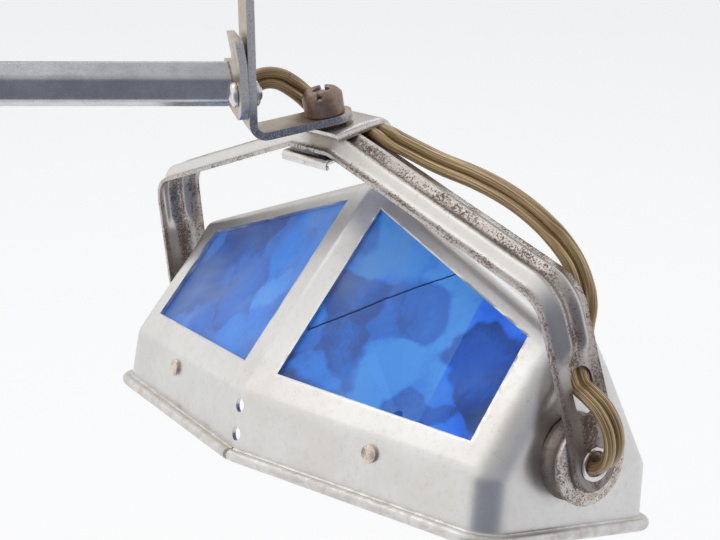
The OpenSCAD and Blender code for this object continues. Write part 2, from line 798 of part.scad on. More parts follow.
arm_tube();
arm_spigot();
arm_socket_insert();
arm_socket_pins();
knuckle_plate();
knuckle_screw();
knuckle_nut();
swivel_bracket();
clamp_bolt();
slotted_nut();
friction_washer();
yoke();
upper_clamp_plate();
lower_clamp_plate();
leg_disc_left();
leg_disc_right();
pivot_rivet_left();
pivot_eyelet_right();
inner_washer_left();
inner_washer_right();
shade_shell();
rim_hem();
shade_rivets();
pivot_cup_left();
pivot_cup_right();
cup_washer_left();
cup_washer_right();
pane_front_left();
pane_front_right();
pane_back_left();
pane_back_right();
pane_clips();
lamp_bracket_left();
lamp_bracket_right();
lamp_holder_left();
lamp_holder_right();
lamp_contact_left();
lamp_contact_right();
contact_screws();
lamp_glass();
lamp_cap_left();
lamp_cap_right();
lamp_filament();
flex_in_arm();
flex_bridge();
flex_on_yoke();
lead_right();
lead_left();
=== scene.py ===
"""Looks of an articulated lamp head: a gabled sheet-metal shade with clouded blue panes, hung in a
ribbed yoke under a bent bracket at the end of a hexagonal arm. Lengths below are in millimetres,
in the local frame of the part that they describe, unless a name says otherwise."""
import json
import math

import bpy
import bmesh
import numpy as np
from mathutils import Matrix, Vector, noise

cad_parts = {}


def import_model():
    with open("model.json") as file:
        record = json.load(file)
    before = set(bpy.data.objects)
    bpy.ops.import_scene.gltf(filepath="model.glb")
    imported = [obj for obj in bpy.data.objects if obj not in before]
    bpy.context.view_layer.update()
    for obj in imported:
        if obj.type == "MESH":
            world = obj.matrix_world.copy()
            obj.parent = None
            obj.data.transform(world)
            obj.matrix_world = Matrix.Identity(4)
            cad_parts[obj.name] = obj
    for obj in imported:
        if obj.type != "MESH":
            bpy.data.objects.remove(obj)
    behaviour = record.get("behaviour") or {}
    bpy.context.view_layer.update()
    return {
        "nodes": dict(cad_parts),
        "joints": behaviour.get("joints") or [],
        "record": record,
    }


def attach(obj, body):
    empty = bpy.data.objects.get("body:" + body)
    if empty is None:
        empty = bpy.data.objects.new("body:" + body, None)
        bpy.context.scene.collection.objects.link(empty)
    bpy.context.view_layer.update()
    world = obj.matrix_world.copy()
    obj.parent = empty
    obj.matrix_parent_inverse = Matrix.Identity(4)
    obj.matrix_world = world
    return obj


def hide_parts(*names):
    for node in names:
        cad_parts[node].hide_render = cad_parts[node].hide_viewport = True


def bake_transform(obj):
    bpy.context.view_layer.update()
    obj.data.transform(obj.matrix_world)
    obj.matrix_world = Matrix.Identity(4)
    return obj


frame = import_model()
MM = 0.001

# ---------------------------------------------------------------- frames
PIVOT_H = 16.0
SHADE_TILT = math.radians(-19.4)
joints = {j["name"]: j for j in frame["joints"]}


def basis(x, z, origin):
    """A frame from its X axis, a direction near its Z axis, and its origin in metres."""
    x = Vector(x).normalized()
    y = Vector(z).cross(x).normalized()
    z = x.cross(y)
    m = Matrix((x, y, z)).transposed().to_4x4()
    m.translation = Vector(origin)
    return m


knuckle_axis = Vector(joints["knuckle"]["axis"])
swivel_axis = Vector(joints["yoke_swivel"]["axis"])
ARM = Matrix.Identity(4)
KNUCKLE = basis(knuckle_axis, (0, 0, 1), joints["knuckle"]["pos_m"])
BOLT = basis(swivel_axis.cross(knuckle_axis).cross(swivel_axis), swivel_axis, joints["yoke_swivel"]["pos_m"])
BRACKET = basis(knuckle_axis, knuckle_axis.cross(BOLT.col[1].to_3d()), joints["knuckle"]["pos_m"])
YOKE = basis(joints["shade_tilt"]["axis"], swivel_axis, joints["shade_tilt"]["pos_m"])
SHADE = YOKE @ Matrix.Rotation(SHADE_TILT, 4, "X") @ Matrix.Translation((0, 0, -PIVOT_H * MM))


def turned(degrees, axis):
    return Matrix.Rotation(math.radians(degrees), 4, axis)


def facing(where, origin, out, up=(0, 0, 1)):
    """A frame inside another whose X axis points out, for lathe work."""
    return where @ basis(out, up, Vector(origin) * MM)


# ---------------------------------------------------------------- camera
scene = bpy.context.scene
CAMERA_AT = (0.1031, -0.4556, 0.1335)
CAMERA_PITCH = math.radians(68.3)
CAMERA_LENS = 99.1
SENSOR_W = 36


def place(name, data):
    """Links a new object that holds a mesh, a light or a camera."""
    obj = bpy.data.objects.new(name, data)
    scene.collection.objects.link(obj)
    return obj


camera = place("camera", bpy.data.cameras.new("camera"))
camera.location = CAMERA_AT
camera.rotation_euler = (CAMERA_PITCH, 0, 0)
camera.data.sensor_width = SENSOR_W
camera.data.lens = CAMERA_LENS
camera.data.clip_start = 0.01
scene.camera = camera


# ---------------------------------------------------------------- material tools
class Nodes:
    """Short ways to add and link the nodes of one shader tree."""

    def __init__(self, tree):
        self.tree = tree

    def node(self, kind, **settings):
        n = self.tree.nodes.new(kind)
        for key, value in settings.items():
            setattr(n, key, value)
        return n

    def put(self, socket, value):
        """Links an output to a socket, or sets the socket's own value."""
        if isinstance(value, bpy.types.NodeSocket):
            self.tree.links.new(value, socket)
        elif hasattr(socket, "default_value"):
            size = len(socket.default_value) if hasattr(socket.default_value, "__len__") else 0
            socket.default_value = (*value, 1) if size == 4 and len(value) == 3 else value

    def mix(self, share, a, b):
        n = self.node("ShaderNodeMix", data_type="RGBA")
        for i, value in ((0, share), (6, a), (7, b)):
            self.put(n.inputs[i], value)
        return n.outputs[2]

    def calc(self, how, a, b=0.0, clamp=False):
        n = self.node("ShaderNodeMath", operation=how, use_clamp=clamp)
        self.put(n.inputs[0], a)
        self.put(n.inputs[1], b)
        return n.outputs[0]

    def plus(self, a, b, clamp=False):
        return self.calc("ADD", a, b, clamp)

    def minus(self, a, b, clamp=False):
        return self.calc("SUBTRACT", a, b, clamp)

    def times(self, a, b, clamp=False):
        return self.calc("MULTIPLY", a, b, clamp)

    def split(self, vector):
        """The X, Y and Z outputs of a vector."""
        n = self.node("ShaderNodeSeparateXYZ")
        self.put(n.inputs[0], vector)
        return n.outputs


class Recipe(Nodes):
    """Builds one procedural material. Sizes of pattern are in millimetres."""

    def __init__(self, name, use_uv=False):
        self.mat = bpy.data.materials.new(name)
        self.mat.use_nodes = True
        super().__init__(self.mat.node_tree)
        self.shader = self.tree.nodes["Principled BSDF"]
        self.coord = self.coords("UV" if use_uv else "Object")

    def coords(self, kind):
        return self.node("ShaderNodeTexCoord").outputs[kind]

    def rise(self, value, low, high, ease="LINEAR"):
        """Goes from 0 at low to 1 at high."""
        return self.ramp(value, [(low, 0.0), (high, 1.0)], ease)

    def swing(self, value, gain):
        """How far a pattern is from its middle value, times a gain."""
        return self.times(self.minus(value, 0.5), gain)

    def space(self, size, stretch=(1, 1, 1), turn=(0, 0, 0)):
        """Object space scaled so that one unit is `size` millimetres."""
        n = self.node("ShaderNodeMapping")
        self.put(n.inputs["Vector"], self.coord)
        n.inputs["Rotation"].default_value = turn
        n.inputs["Scale"].default_value = [1 / (size * MM * s) for s in stretch]
        return n.outputs["Vector"]

    def noise(self, size, detail=4, rough=0.55, distort=0.0, stretch=(1, 1, 1), turn=(0, 0, 0), seed=0.0):
        n = self.node("ShaderNodeTexNoise", noise_dimensions="4D")
        self.put(n.inputs["Vector"], self.space(size, stretch, turn))
        n.inputs["W"].default_value = seed
        n.inputs["Scale"].default_value = 1
        n.inputs["Detail"].default_value = detail
        n.inputs["Roughness"].default_value = rough
        n.inputs["Distortion"].default_value = distort
        return n.outputs["Fac"]

    def ramp(self, value, stops, ease="LINEAR"):
        n = self.node("ShaderNodeValToRGB")
        n.color_ramp.interpolation = ease
        while len(n.color_ramp.elements) < len(stops):
            n.color_ramp.elements.new(0.5)
        for element, (at, tint) in zip(n.color_ramp.elements, stops):
            element.position = at
            element.color = (*tint, 1) if hasattr(tint, "__len__") else (tint, tint, tint, 1)
        self.put(n.inputs["Fac"], value)
        return n.outputs["Color"]

    def finish(self, colour, rough, metal=1.0, bumps=(), **fixed):
        self.put(self.shader.inputs["Base Color"], colour)
        self.put(self.shader.inputs["Roughness"], rough)
        self.put(self.shader.inputs["Metallic"], metal)
        normal = None
        for height, strength, distance in bumps:
            n = self.node("ShaderNodeBump")
            n.inputs["Strength"].default_value = strength
            n.inputs["Distance"].default_value = distance * MM
            self.put(n.inputs["Height"], height)
            if normal is not None:
                self.put(n.inputs["Normal"], normal)
            normal = n.outputs["Normal"]
        if normal is not None:
            self.put(self.shader.inputs["Normal"], normal)
        for key, value in fixed.items():
            self.put(self.shader.inputs[key.replace("_", " ")], value)
        return self.mat


def worn_metal(name, base, stain, speck, speck_share, rough, speck_size=0.35, metal=1.0,
               stain_size=9, stain_share=0.35, brush=None, grain=0.10, seed=0.0, speck_metal=0.2):
    """Bare or plated metal with a soft patchy film, small dark specks, fine brushing and uneven gloss."""
    r = Recipe(name)
    patch = r.rise(r.noise(stain_size, 5, 0.6, 0.6, seed=seed), 0.38, 0.66, "EASE")
    film = r.times(patch, stain_share)
    tint = r.mix(film, base, stain)
    fine = r.noise(stain_size * 0.12, 6, 0.7, seed=seed + 3)
    tint = r.mix(r.times(r.calc("ABSOLUTE", r.minus(fine, 0.5)), 0.9), tint, stain)
    dots = r.noise(speck_size, 3, 0.75, 0.3, seed=seed + 7)
    crowd = r.noise(speck_size * 11, 3, 0.6, seed=seed + 9)
    height = r.plus(dots, r.swing(crowd, 0.35))
    low = 0.74 - 0.34 * speck_share
    specks = r.rise(height, low, low + 0.05)
    tint = r.mix(r.times(specks, 0.85), tint, speck)
    gloss = r.plus(rough, r.swing(fine, 0.28))
    gloss = r.plus(gloss, r.times(specks, 0.3), True)
    bumps = [(fine, 0.10, 0.12), (specks, 0.25, -0.03)]
    if brush is not None:
        lines = r.noise(grain, 3, 0.6, stretch=brush, seed=seed + 5)
        gloss = r.plus(gloss, r.swing(lines, 0.35), True)
        bumps.append((lines, 0.16, 0.02))
    shine = r.minus(metal, r.times(specks, metal - speck_metal), True)
    return r.finish(tint, gloss, shine, bumps)


# ---------------------------------------------------------------- materials
def blue_glass():
    """Deep blue glass with lobed clouds, a pale veil, dust and fine scratches; it also glows faintly in its
    own tint, painted light standing in for light shining through it.
    """
    r = Recipe("clouded_blue_glass")
    warp = r.node("ShaderNodeTexNoise", noise_dimensions="3D")
    r.put(warp.inputs["Vector"], r.space(16))
    warp.inputs["Scale"].default_value = 1
    warp.inputs["Detail"].default_value = 3
    shift = r.node("ShaderNodeVectorMath", operation="MULTIPLY_ADD")
    r.put(shift.inputs[0], warp.outputs["Color"])
    shift.inputs[1].default_value = (1.1, 1.1, 1.1)
    r.put(shift.inputs[2], r.space(13, (1.1, 1.1, 1.0)))
    lobes = r.node("ShaderNodeTexVoronoi", feature="SMOOTH_F1")
    r.put(lobes.inputs["Vector"], shift.outputs[0])
    lobes.inputs["Scale"].default_value = 1
    lobes.inputs["Smoothness"].default_value = 0.18
    cell = r.node("ShaderNodeSeparateColor")
    r.put(cell.inputs[0], lobes.outputs["Color"])
    cloud = r.plus(r.times(cell.outputs[0], 0.62), r.times(lobes.outputs["Distance"], 0.22))
    grain = r.noise(3.0, 5, 0.6, 2.5, stretch=(1, 1, 2.5), seed=21)
    cloud = r.plus(cloud, r.swing(grain, 0.30))
    cloud = r.plus(cloud, r.swing(r.noise(22, 2, seed=23), 0.9))
    tint = r.ramp(cloud, [(0.10, (0.050, 0.29, 0.84)), (0.30, (0.022, 0.205, 0.76)),
                          (0.48, (0.014, 0.135, 0.58)), (0.66, (0.013, 0.075, 0.36)),
                          (0.9, (0.016, 0.045, 0.20))], "EASE")
    veil = r.rise(r.noise(26, 3, 0.5, 0.8, seed=4), 0.42, 0.72, "EASE")
    tint = r.mix(r.plus(r.times(veil, 0.35), 0.12), tint, (0.20, 0.30, 0.50))
    dust = r.rise(r.noise(0.7, 4, 0.75, seed=8), 0.60, 0.72)
    tint = r.mix(r.times(dust, 0.08), tint, (0.45, 0.5, 0.6))
    scratch = r.rise(r.noise(0.5, 2, 0.5, stretch=(22, 1, 1), turn=(0.3, 0.5, 0.9), seed=11), 0.66, 0.70)
    gloss = r.plus(0.34, r.times(r.noise(9, 4, 0.6, seed=12), 0.12))
    gloss = r.plus(gloss, r.times(r.plus(dust, scratch), 0.15), True)
    bumps = [(cloud, 0.15, 0.3), (scratch, 0.2, 0.02), (r.noise(14, 2, seed=15), 0.2, 0.5)]
    # Painted light: the glass glows in its own tint, standing in for light shining through the panes.
    r.put(r.shader.inputs["Emission Color"], tint)
    return r.finish(tint, gloss, 0.0, bumps, IOR=1.4, Emission_Strength=0.30)


def shade_metal():
    """Old bare sheet: warm pale grey, soft stains and a pepper of fine dark specks."""
    r = Recipe("old_sheet_metal")
    patch = r.rise(r.noise(16, 4, 0.55, 0.5, seed=1), 0.36, 0.68, "EASE")
    fine = r.noise(1.6, 5, 0.65, seed=4)
    tint = r.mix(r.times(patch, 0.55), (0.745, 0.74, 0.735), (0.66, 0.635, 0.605))
    tint = r.mix(r.ramp(fine, [(0.52, 0.0), (0.80, 0.5)]), tint, (0.56, 0.52, 0.48))
    dots = r.noise(0.24, 2, 0.7, seed=8)
    crowd = r.noise(7, 3, 0.6, seed=10)
    height = r.plus(dots, r.swing(crowd, 0.30))
    specks = r.rise(height, 0.66, 0.72)
    tint = r.mix(r.times(specks, 0.7), tint, (0.27, 0.23, 0.19))
    gloss = r.plus(0.27, r.times(fine, 0.16))
    gloss = r.plus(gloss, r.times(specks, 0.25), True)
    shine = r.minus(1.0, r.times(specks, 0.7), True)
    swell = r.noise(22, 2, seed=12)
    return r.finish(tint, gloss, shine, [(swell, 0.25, 0.5), (fine, 0.05, 0.08), (specks, 0.15, 0.02)])


def hem_metal():
    """The rolled edge: light worn metal with patches of brown grime and fine dark specks."""
    r = Recipe("stained_rolled_edge")
    grime = r.rise(r.noise(3.2, 5, 0.65, 0.5, seed=2), 0.40, 0.66)
    fine = r.noise(0.5, 4, 0.7, seed=5)
    tint = r.mix(r.times(grime, 0.55), (0.76, 0.75, 0.74), (0.55, 0.49, 0.42))
    tint = r.mix(r.ramp(fine, [(0.64, 0.0), (0.74, 0.35)]), tint, (0.18, 0.14, 0.10))
    gloss = r.plus(0.40, r.times(grime, 0.16))
    return r.finish(tint, gloss, 0.9, [(grime, 0.06, 0.1)])


def yoke_metal():
    """Worn plating over steel: brown rust speckle crowding along ridges and grooves; the near flank and far
    crest are left bright as painted highlights.
    """
    r = Recipe("rust_speckled_plating")
    crowd = r.rise(r.noise(9, 4, 0.6, 0.6, seed=3), 0.36, 0.66, "EASE")
    uv = r.split(r.coords("UV"))
    # Rust and brown film follow these bands: thick in the flanges and trough, thin on the near flank and far
    # crest, which are painted highlights.
    rust_and_highlight_bands = r.ramp(uv["Y"], [(0.0, 0.7), (0.03, 1.0), (0.10, 0.75), (0.15, 0.22), (0.30, 0.18),
                            (0.36, 0.75), (0.44, 1.0), (0.60, 0.85), (0.66, 0.35), (0.71, 0.3),
                            (0.78, 0.75), (0.93, 0.7), (1.0, 0.9)])
    density = r.times(rust_and_highlight_bands, r.plus(0.55, r.times(crowd, 0.55)))
    dots = r.noise(0.5, 4, 0.72, 0.4, seed=6)
    level = r.minus(0.67, r.times(density, 0.27))
    rust = r.times(r.minus(dots, level), 11, True)
    film = r.noise(2.4, 5, 0.65, seed=8)
    veil = r.times(r.plus(r.times(film, 0.8), 0.25), rust_and_highlight_bands)
    tint = r.mix(veil, (0.74, 0.73, 0.72), (0.38, 0.315, 0.27))
    pad = r.ramp(uv["X"], [(0.0, 1.0), (0.105, 0.9), (0.13, 0.45), (0.21, 0.0)])
    tint = r.mix(r.times(pad, 0.75), tint, (0.21, 0.175, 0.16))
    tint = r.mix(r.times(rust, 0.9), tint,
                 r.ramp(film, [(0.3, (0.11, 0.07, 0.055)), (0.7, (0.22, 0.155, 0.12))]))
    gloss = r.plus(0.26, r.times(film, 0.20))
    gloss = r.plus(gloss, r.times(pad, 0.12))
    gloss = r.plus(gloss, r.times(rust, 0.35), True)
    shine = r.minus(1.0, r.times(rust, 0.7), True)
    return r.finish(tint, gloss, shine, [(film, 0.08, 0.1), (rust, 0.3, 0.04)])


def strip_metal(name, width_axis, seed):
    """Worn nickel strip: tan on its broad faces. Its cut edges are pale, and below the arm's axis height a
    speckled bluish dark is painted shade.
    """
    r = Recipe(name)
    facing_out = r.node("ShaderNodeVectorMath", operation="DOT_PRODUCT")
    r.put(facing_out.inputs[0], r.coords("Normal"))
    facing_out.inputs[1].default_value = width_axis
    edge = r.rise(r.calc("ABSOLUTE", facing_out.outputs["Value"]), 0.55, 0.80)
    patch = r.rise(r.noise(7, 4, 0.6, 0.5, seed=seed), 0.36, 0.64, "EASE")
    fine = r.noise(0.9, 5, 0.7, seed=seed + 1)
    dots = r.noise(0.33, 3, 0.75, seed=seed + 2)
    # Painted shade: cut edges lower than the arm's axis are turned a speckled bluish dark by their height
    # alone.
    low = r.rise(r.times(r.split(r.coord)["Z"], -100.0), 0.0, 0.45)
    face = r.mix(patch, (0.60, 0.55, 0.50), (0.50, 0.39, 0.29))
    face = r.mix(r.ramp(dots, [(0.62, 0.0), (0.70, 0.8)]), face, (0.16, 0.12, 0.10))
    dark = r.mix(r.rise(dots, 0.46, 0.58), (0.26, 0.27, 0.31), (0.62, 0.62, 0.64))
    pale = r.mix(r.rise(dots, 0.52, 0.66), (0.70, 0.69, 0.68), (0.38, 0.35, 0.33))
    tint = r.mix(edge, face, r.mix(low, pale, dark))
    shine = r.minus(0.95, r.times(edge, r.times(r.minus(1.0, low), 0.75)))
    gloss = r.plus(0.30, r.times(fine, 0.18))
    gloss = r.minus(gloss, r.times(edge, 0.10), True)
    return r.finish(tint, gloss, shine, [(fine, 0.10, 0.1), (dots, 0.15, 0.03)])


def flex_plastic():
    """Aged, golden-brown translucent plastic over copper strands that show through as fine streaks."""
    r = Recipe("gold_brown_plastic", use_uv=True)

    def streaks(along, around, detail, turn=0.0):
        """Noise over the core's surface with given repeats along a millimetre and around the core."""
        n = r.node("ShaderNodeTexNoise")
        m = r.node("ShaderNodeMapping")
        r.put(m.inputs["Vector"], r.coord)
        m.inputs["Scale"].default_value = (along, around, 1)
        m.inputs["Rotation"].default_value = (0, 0, turn)
        r.put(n.inputs["Vector"], m.outputs["Vector"])
        n.inputs["Scale"].default_value = 1
        n.inputs["Detail"].default_value = detail
        return n.outputs["Fac"]

    strand = streaks(0.05, 7.0, 3, 0.02)
    cloud = streaks(0.12, 0.8, 4)
    tint = r.ramp(strand, [(0.34, (0.13, 0.072, 0.024)), (0.50, (0.35, 0.22, 0.09)),
                           (0.66, (0.74, 0.57, 0.32))])
    tint = r.mix(r.times(cloud, 0.30), tint, (0.30, 0.19, 0.075))
    gloss = r.plus(0.26, r.times(cloud, 0.16))
    return r.finish(tint, gloss, 0.25, [(strand, 0.25, 0.08), (cloud, 0.1, 0.1)],
                    Coat_Weight=0.6, Coat_Roughness=0.16, IOR=1.45)


def plain(name, colour, other, rough, metal, size=2.0, **fixed):
    """A simple two-tone finish with fine grain, for parts that are mostly hidden."""
    r = Recipe(name)
    grain = r.noise(size, 5, 0.65, seed=len(name))
    tint = r.mix(grain, colour, other)
    gloss = r.plus(rough - 0.08, r.times(grain, 0.16), True)
    return r.finish(tint, gloss, metal, [(grain, 0.15, 0.05)], **fixed)


MATERIALS = {
    "brushed_tube": worn_metal("brushed_grey_tube", (0.60, 0.61, 0.635), (0.30, 0.31, 0.33),
                               (0.10, 0.09, 0.09), 0.28, 0.26, 0.25, brush=(60, 1, 1), grain=0.09, seed=2.0),
    "turned_steel": worn_metal("turned_steel", (0.62, 0.61, 0.60), (0.40, 0.36, 0.33), (0.15, 0.11, 0.09),
                               0.42, 0.30, 0.3, stain_share=0.45, seed=4.0),
    "black_insulator": plain("black_insulator", (0.02, 0.018, 0.017), (0.05, 0.045, 0.04), 0.55, 0.0),
    "brass": plain("dull_brass", (0.62, 0.45, 0.20), (0.36, 0.25, 0.11), 0.35, 1.0),
    "worn_chrome": worn_metal("worn_nickel", (0.52, 0.47, 0.42), (0.36, 0.29, 0.24), (0.09, 0.06, 0.05),
                              0.60, 0.30, 0.28, stain_size=6, stain_share=0.6, seed=5.0),
    "bright_chrome": worn_metal("bright_plating", (0.76, 0.75, 0.74), (0.52, 0.48, 0.45), (0.16, 0.11, 0.08),
                                0.32, 0.14, 0.25, stain_size=3, stain_share=0.35, seed=6.0),
    "brown_steel": worn_metal("browned_steel", (0.36, 0.265, 0.22), (0.20, 0.14, 0.11), (0.45, 0.36, 0.28),
                              0.40, 0.42, 0.22, metal=0.75, stain_size=2.5, stain_share=0.7, seed=7.0,
                              speck_metal=0.5),
    "rusted_plating": yoke_metal(),
    "shade_metal": shade_metal(),
    "hem_metal": hem_metal(),
    "rivet_metal": worn_metal("beige_rivet", (0.84, 0.75, 0.65), (0.55, 0.45, 0.35), (0.12, 0.08, 0.05),
                              0.45, 0.38, 0.2, stain_size=1.5, stain_share=0.6, seed=8.0),
    "cup_metal": worn_metal("grey_brown_cup", (0.36, 0.31, 0.28), (0.20, 0.15, 0.12), (0.10, 0.06, 0.045),
                            0.55, 0.42, 0.35, metal=0.8, stain_size=4, stain_share=0.6, seed=9.0),
    "blue_glass": blue_glass(),
    "porcelain": plain("porcelain", (0.76, 0.73, 0.66), (0.62, 0.58, 0.50), 0.5, 0.0, 3.0),
    "lamp_glass": plain("lamp_glass", (0.93, 0.94, 0.93), (0.85, 0.87, 0.86), 0.10, 0.0, 6.0,
                        Transmission_Weight=0.9, IOR=1.45),
    "filament": plain("tungsten", (0.16, 0.16, 0.17), (0.09, 0.09, 0.10), 0.4, 1.0),
    "flex": flex_plastic(),
}
washer_metal = worn_metal("polished_washer", (0.74, 0.72, 0.70), (0.42, 0.34, 0.28), (0.16, 0.10, 0.07),
                          0.36, 0.16, 0.2, stain_size=3, stain_share=0.5, seed=11.0)
disc_metal = worn_metal("flaking_disc", (0.80, 0.78, 0.75), (0.46, 0.29, 0.17), (0.20, 0.09, 0.04),
                        0.62, 0.46, 0.45, metal=0.8, stain_size=2.2, stain_share=0.5, seed=12.0)

# A near-black strip for the crack's gap, so that the crack reads as a dark line.
crack_dark_strip = plain("dirt_in_crack", (0.012, 0.014, 0.022), (0.03, 0.035, 0.06), 0.6, 0.0, 0.8)
bracket_metal = strip_metal("nickel_strip", tuple(BRACKET.col[1].to_3d()), 31.0)
clip_metal = worn_metal("nickel_clip", (0.70, 0.68, 0.66), (0.50, 0.44, 0.38), (0.16, 0.12, 0.10),
                        0.45, 0.28, 0.3, stain_size=4, stain_share=0.4, seed=36.0)
cheek_metal = strip_metal("nickel_cheek", tuple(KNUCKLE.col[1].to_3d()), 41.0)

for node, obj in frame["nodes"].items():
    slot = next(s["material_slot"] for s in frame["record"]["subparts"] if s["node"] == node)
    obj.data.materials.clear()
    obj.data.materials.append(MATERIALS[slot])


# ---------------------------------------------------------------- mesh tools
def make(name, verts, faces, where, uvs=None):
    """A mesh object from vertices in millimetres in a given frame, welded and with outward faces."""
    mesh = bpy.data.meshes.new(name)
    m = where.to_3x3()
    origin = where.translation
    mesh.from_pydata([m @ (Vector(v) * MM) + origin for v in verts], [], faces)
    if uvs is not None:
        layer = mesh.uv_layers.new(name="UVMap")
        for loop in mesh.loops:
            layer.data[loop.index].uv = uvs[loop.vertex_index]
    bm = bmesh.new()
    bm.from_mesh(mesh)
    bmesh.ops.remove_doubles(bm, verts=bm.verts, dist=2e-6)
    bmesh.ops.dissolve_degenerate(bm, edges=bm.edges, dist=1e-6)
    bmesh.ops.recalc_face_normals(bm, faces=bm.faces)
    bm.to_mesh(mesh)
    bm.free()
    return place(name, mesh)


def settle(obj):
    """Applies the object's modifiers."""
    graph = bpy.context.evaluated_depsgraph_get()
    mesh = bpy.data.meshes.new_from_object(obj.evaluated_get(graph))
    obj.modifiers.clear()
    obj.data = mesh


def bevel(obj, width, segments=2, angle=40):
    m = obj.modifiers.new("bevel", "BEVEL")
    m.width = width * MM
    m.segments = segments
    m.limit_method = "ANGLE"
    m.angle_limit = math.radians(angle)
    m.use_clamp_overlap = True
    settle(obj)


def cut(obj, *cutters):
    for cutter in cutters:
        m = obj.modifiers.new("cut", "BOOLEAN")
        m.operation = "DIFFERENCE"
        m.solver = "EXACT"
        m.object = cutter
    settle(obj)
    for cutter in cutters:
        bpy.data.objects.remove(cutter)


def dress(obj, body, slot, stands_for=(), material=None, sharp=38):
    """Shades a finished piece, gives it its material and puts it on its body."""
    obj.data.materials.clear()
    obj.data.materials.append(material or MATERIALS[slot])
    obj.data.shade_smooth()
    obj.data.set_sharp_from_angle(angle=math.radians(sharp))
    if stands_for:
        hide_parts(*stands_for)
    if body:
        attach(obj, body)
    return obj


def join(name, objs):
    """One object from several that share a material and a body."""
    bm = bmesh.new()
    for o in objs:
        bm.from_mesh(o.data)
    mesh = bpy.data.meshes.new(name)
    bm.to_mesh(mesh)
    bm.free()
    for o in objs:
        bpy.data.objects.remove(o)
    return place(name, mesh)


def ring_quads(rings, steps, base=0, closed=False):
    """Faces between neighbouring rings of points. If closed, the last ring joins the first."""
    return [(base + i * steps + k, base + i * steps + (k + 1) % steps,
             base + (i + 1) % rings * steps + (k + 1) % steps, base + (i + 1) % rings * steps + k)
            for i in range(rings if closed else rings - 1) for k in range(steps)]


def soften(outline, radius, steps=3):
    """A closed 2-D outline with its corners rounded."""
    out = []
    for i, p in enumerate(outline):
        p = Vector(p)
        a = Vector(outline[i - 1]) - p
        b = Vector(outline[(i + 1) % len(outline)]) - p
        reach = min(radius, 0.45 * a.length, 0.45 * b.length)
        a, b = p + a.normalized() * reach, p + b.normalized() * reach
        for k in range(steps + 1):
            t = k / steps
            out.append(a * (1 - t) ** 2 + p * 2 * t * (1 - t) + b * t ** 2)
    return out


def lathe(name, profile, where, steps=64, wobble=0.0):
    """Turns a closed (x, r) profile about the frame's X axis."""
    verts = []
    for x, r in profile:
        for k in range(steps):
            a = 2 * math.pi * k / steps
            rr = r * (1 + wobble * noise.noise(Vector((math.cos(a) * 2, math.sin(a) * 2, x + r))))
            verts.append((x, rr * math.cos(a), rr * math.sin(a)))
    radius = [profile[i // steps][1] for i in range(len(verts))]
    faces = [q for q in ring_quads(len(profile), steps, closed=True) if radius[q[0]] + radius[q[2]] > 0]
    return make(name, verts, faces, where)


def prism(name, outline, low, high, where):
    """Extrudes a 2-D outline along the frame's Z axis."""
    n = len(outline)
    verts = [(x, y, z) for z in (low, high) for x, y in outline]
    faces = [tuple(range(n))[::-1], tuple(range(n, 2 * n))]
    faces += [(i, (i + 1) % n, n + (i + 1) % n, n + i) for i in range(n)]
    return make(name, verts, faces, where)


def slot_cutter(where, width, length, low, high):
    """A bar along the frame's X axis, for cutting a screwdriver slot."""
    outline = [(-length, -width / 2), (length, -width / 2), (length, width / 2), (-length, width / 2)]
    return prism("slot", outline, low, high, where)


def slab(name, front, back, where, uv=False):
    """A closed sheet between two grids of points with the same rows and columns."""
    rows, cols = len(front), len(front[0])
    verts = [p for row in front for p in row] + [p for row in back for p in row]
    base = rows * cols
    faces = []
    for i in range(rows - 1):
        for j in range(cols - 1):
            a = i * cols + j
            faces.append((a, a + 1, a + cols + 1, a + cols))
            faces.append((base + a, base + a + cols, base + a + cols + 1, base + a + 1))
    sides = [(i * cols + j, cols) for i in range(rows - 1) for j in (0, cols - 1)]
    sides += [(i * cols + j, 1) for j in range(cols - 1) for i in (0, rows - 1)]
    faces += [(a, a + ahead, base + a + ahead, base + a) for a, ahead in sides]
    uvs = [(i / (rows - 1), j / (cols - 1)) for i in range(rows) for j in range(cols)] * 2
    return make(name, verts, faces, where, uvs if uv else None)


def smooth_step(t):
    """Smooth step from 0 to 1."""
    t = min(max(t, 0.0), 1.0)
    return t * t * (3 - 2 * t)


def circle(r, steps=32, centre=(0, 0)):
    angles = [2 * math.pi * k / steps for k in range(steps)]
    return [(centre[0] + r * math.cos(a), centre[1] + r * math.sin(a)) for a in angles]


def rounded_path(points, radii, step=1.0):
    """Samples a 2-D polyline whose inner corners are arcs. Gives (point, direction) pairs."""
    points = [Vector(p) for p in points]
    out = []
    start = points[0]
    for i in range(1, len(points)):
        a, b = points[i - 1], points[i]
        u = (b - a).normalized()
        if i == len(points) - 1:
            stop, arc = b, None
        else:
            v = (points[i + 1] - b).normalized()
            turn = math.atan2(u.x * v.y - u.y * v.x, u.dot(v))
            reach = radii[i - 1] * math.tan(abs(turn) / 2)
            stop, arc = b - u * reach, (turn, radii[i - 1])
        n = max(2, int((stop - start).length / step))
        out += [(start.lerp(stop, k / n), u) for k in range(n)]
        if arc:
            turn, r = arc
            side = 1 if turn > 0 else -1
            centre = stop + Vector((-u.y, u.x)) * side * r
            m = max(4, int(abs(turn) * r / step * 1.6))
            for k in range(m):
                rot = Matrix.Rotation(turn * k / m, 2)
                out.append((centre + rot @ (stop - centre), rot @ u))
            rot = Matrix.Rotation(turn, 2)
            start = centre + rot @ (stop - centre)
    out.append((points[-1], (points[-1] - points[-2]).normalized()))
    return out


# ---------------------------------------------------------------- arm and knuckle
STRIP_T = 1.9
PLATE_GAP = 0.1
PLATE_X = -STRIP_T / 2 - PLATE_GAP - STRIP_T
SKEW_COS, SKEW_SIN = knuckle_axis.x, knuckle_axis.y
KNUCKLE_AT = Vector(joints["knuckle"]["pos_m"]) / MM
ARM_FLATS = 10.0
ARM_BORE_R = 3.55
TUBE_START = 7.0
TUBE_CHAMFER = 0.35
CORNER_CUT = 0.28


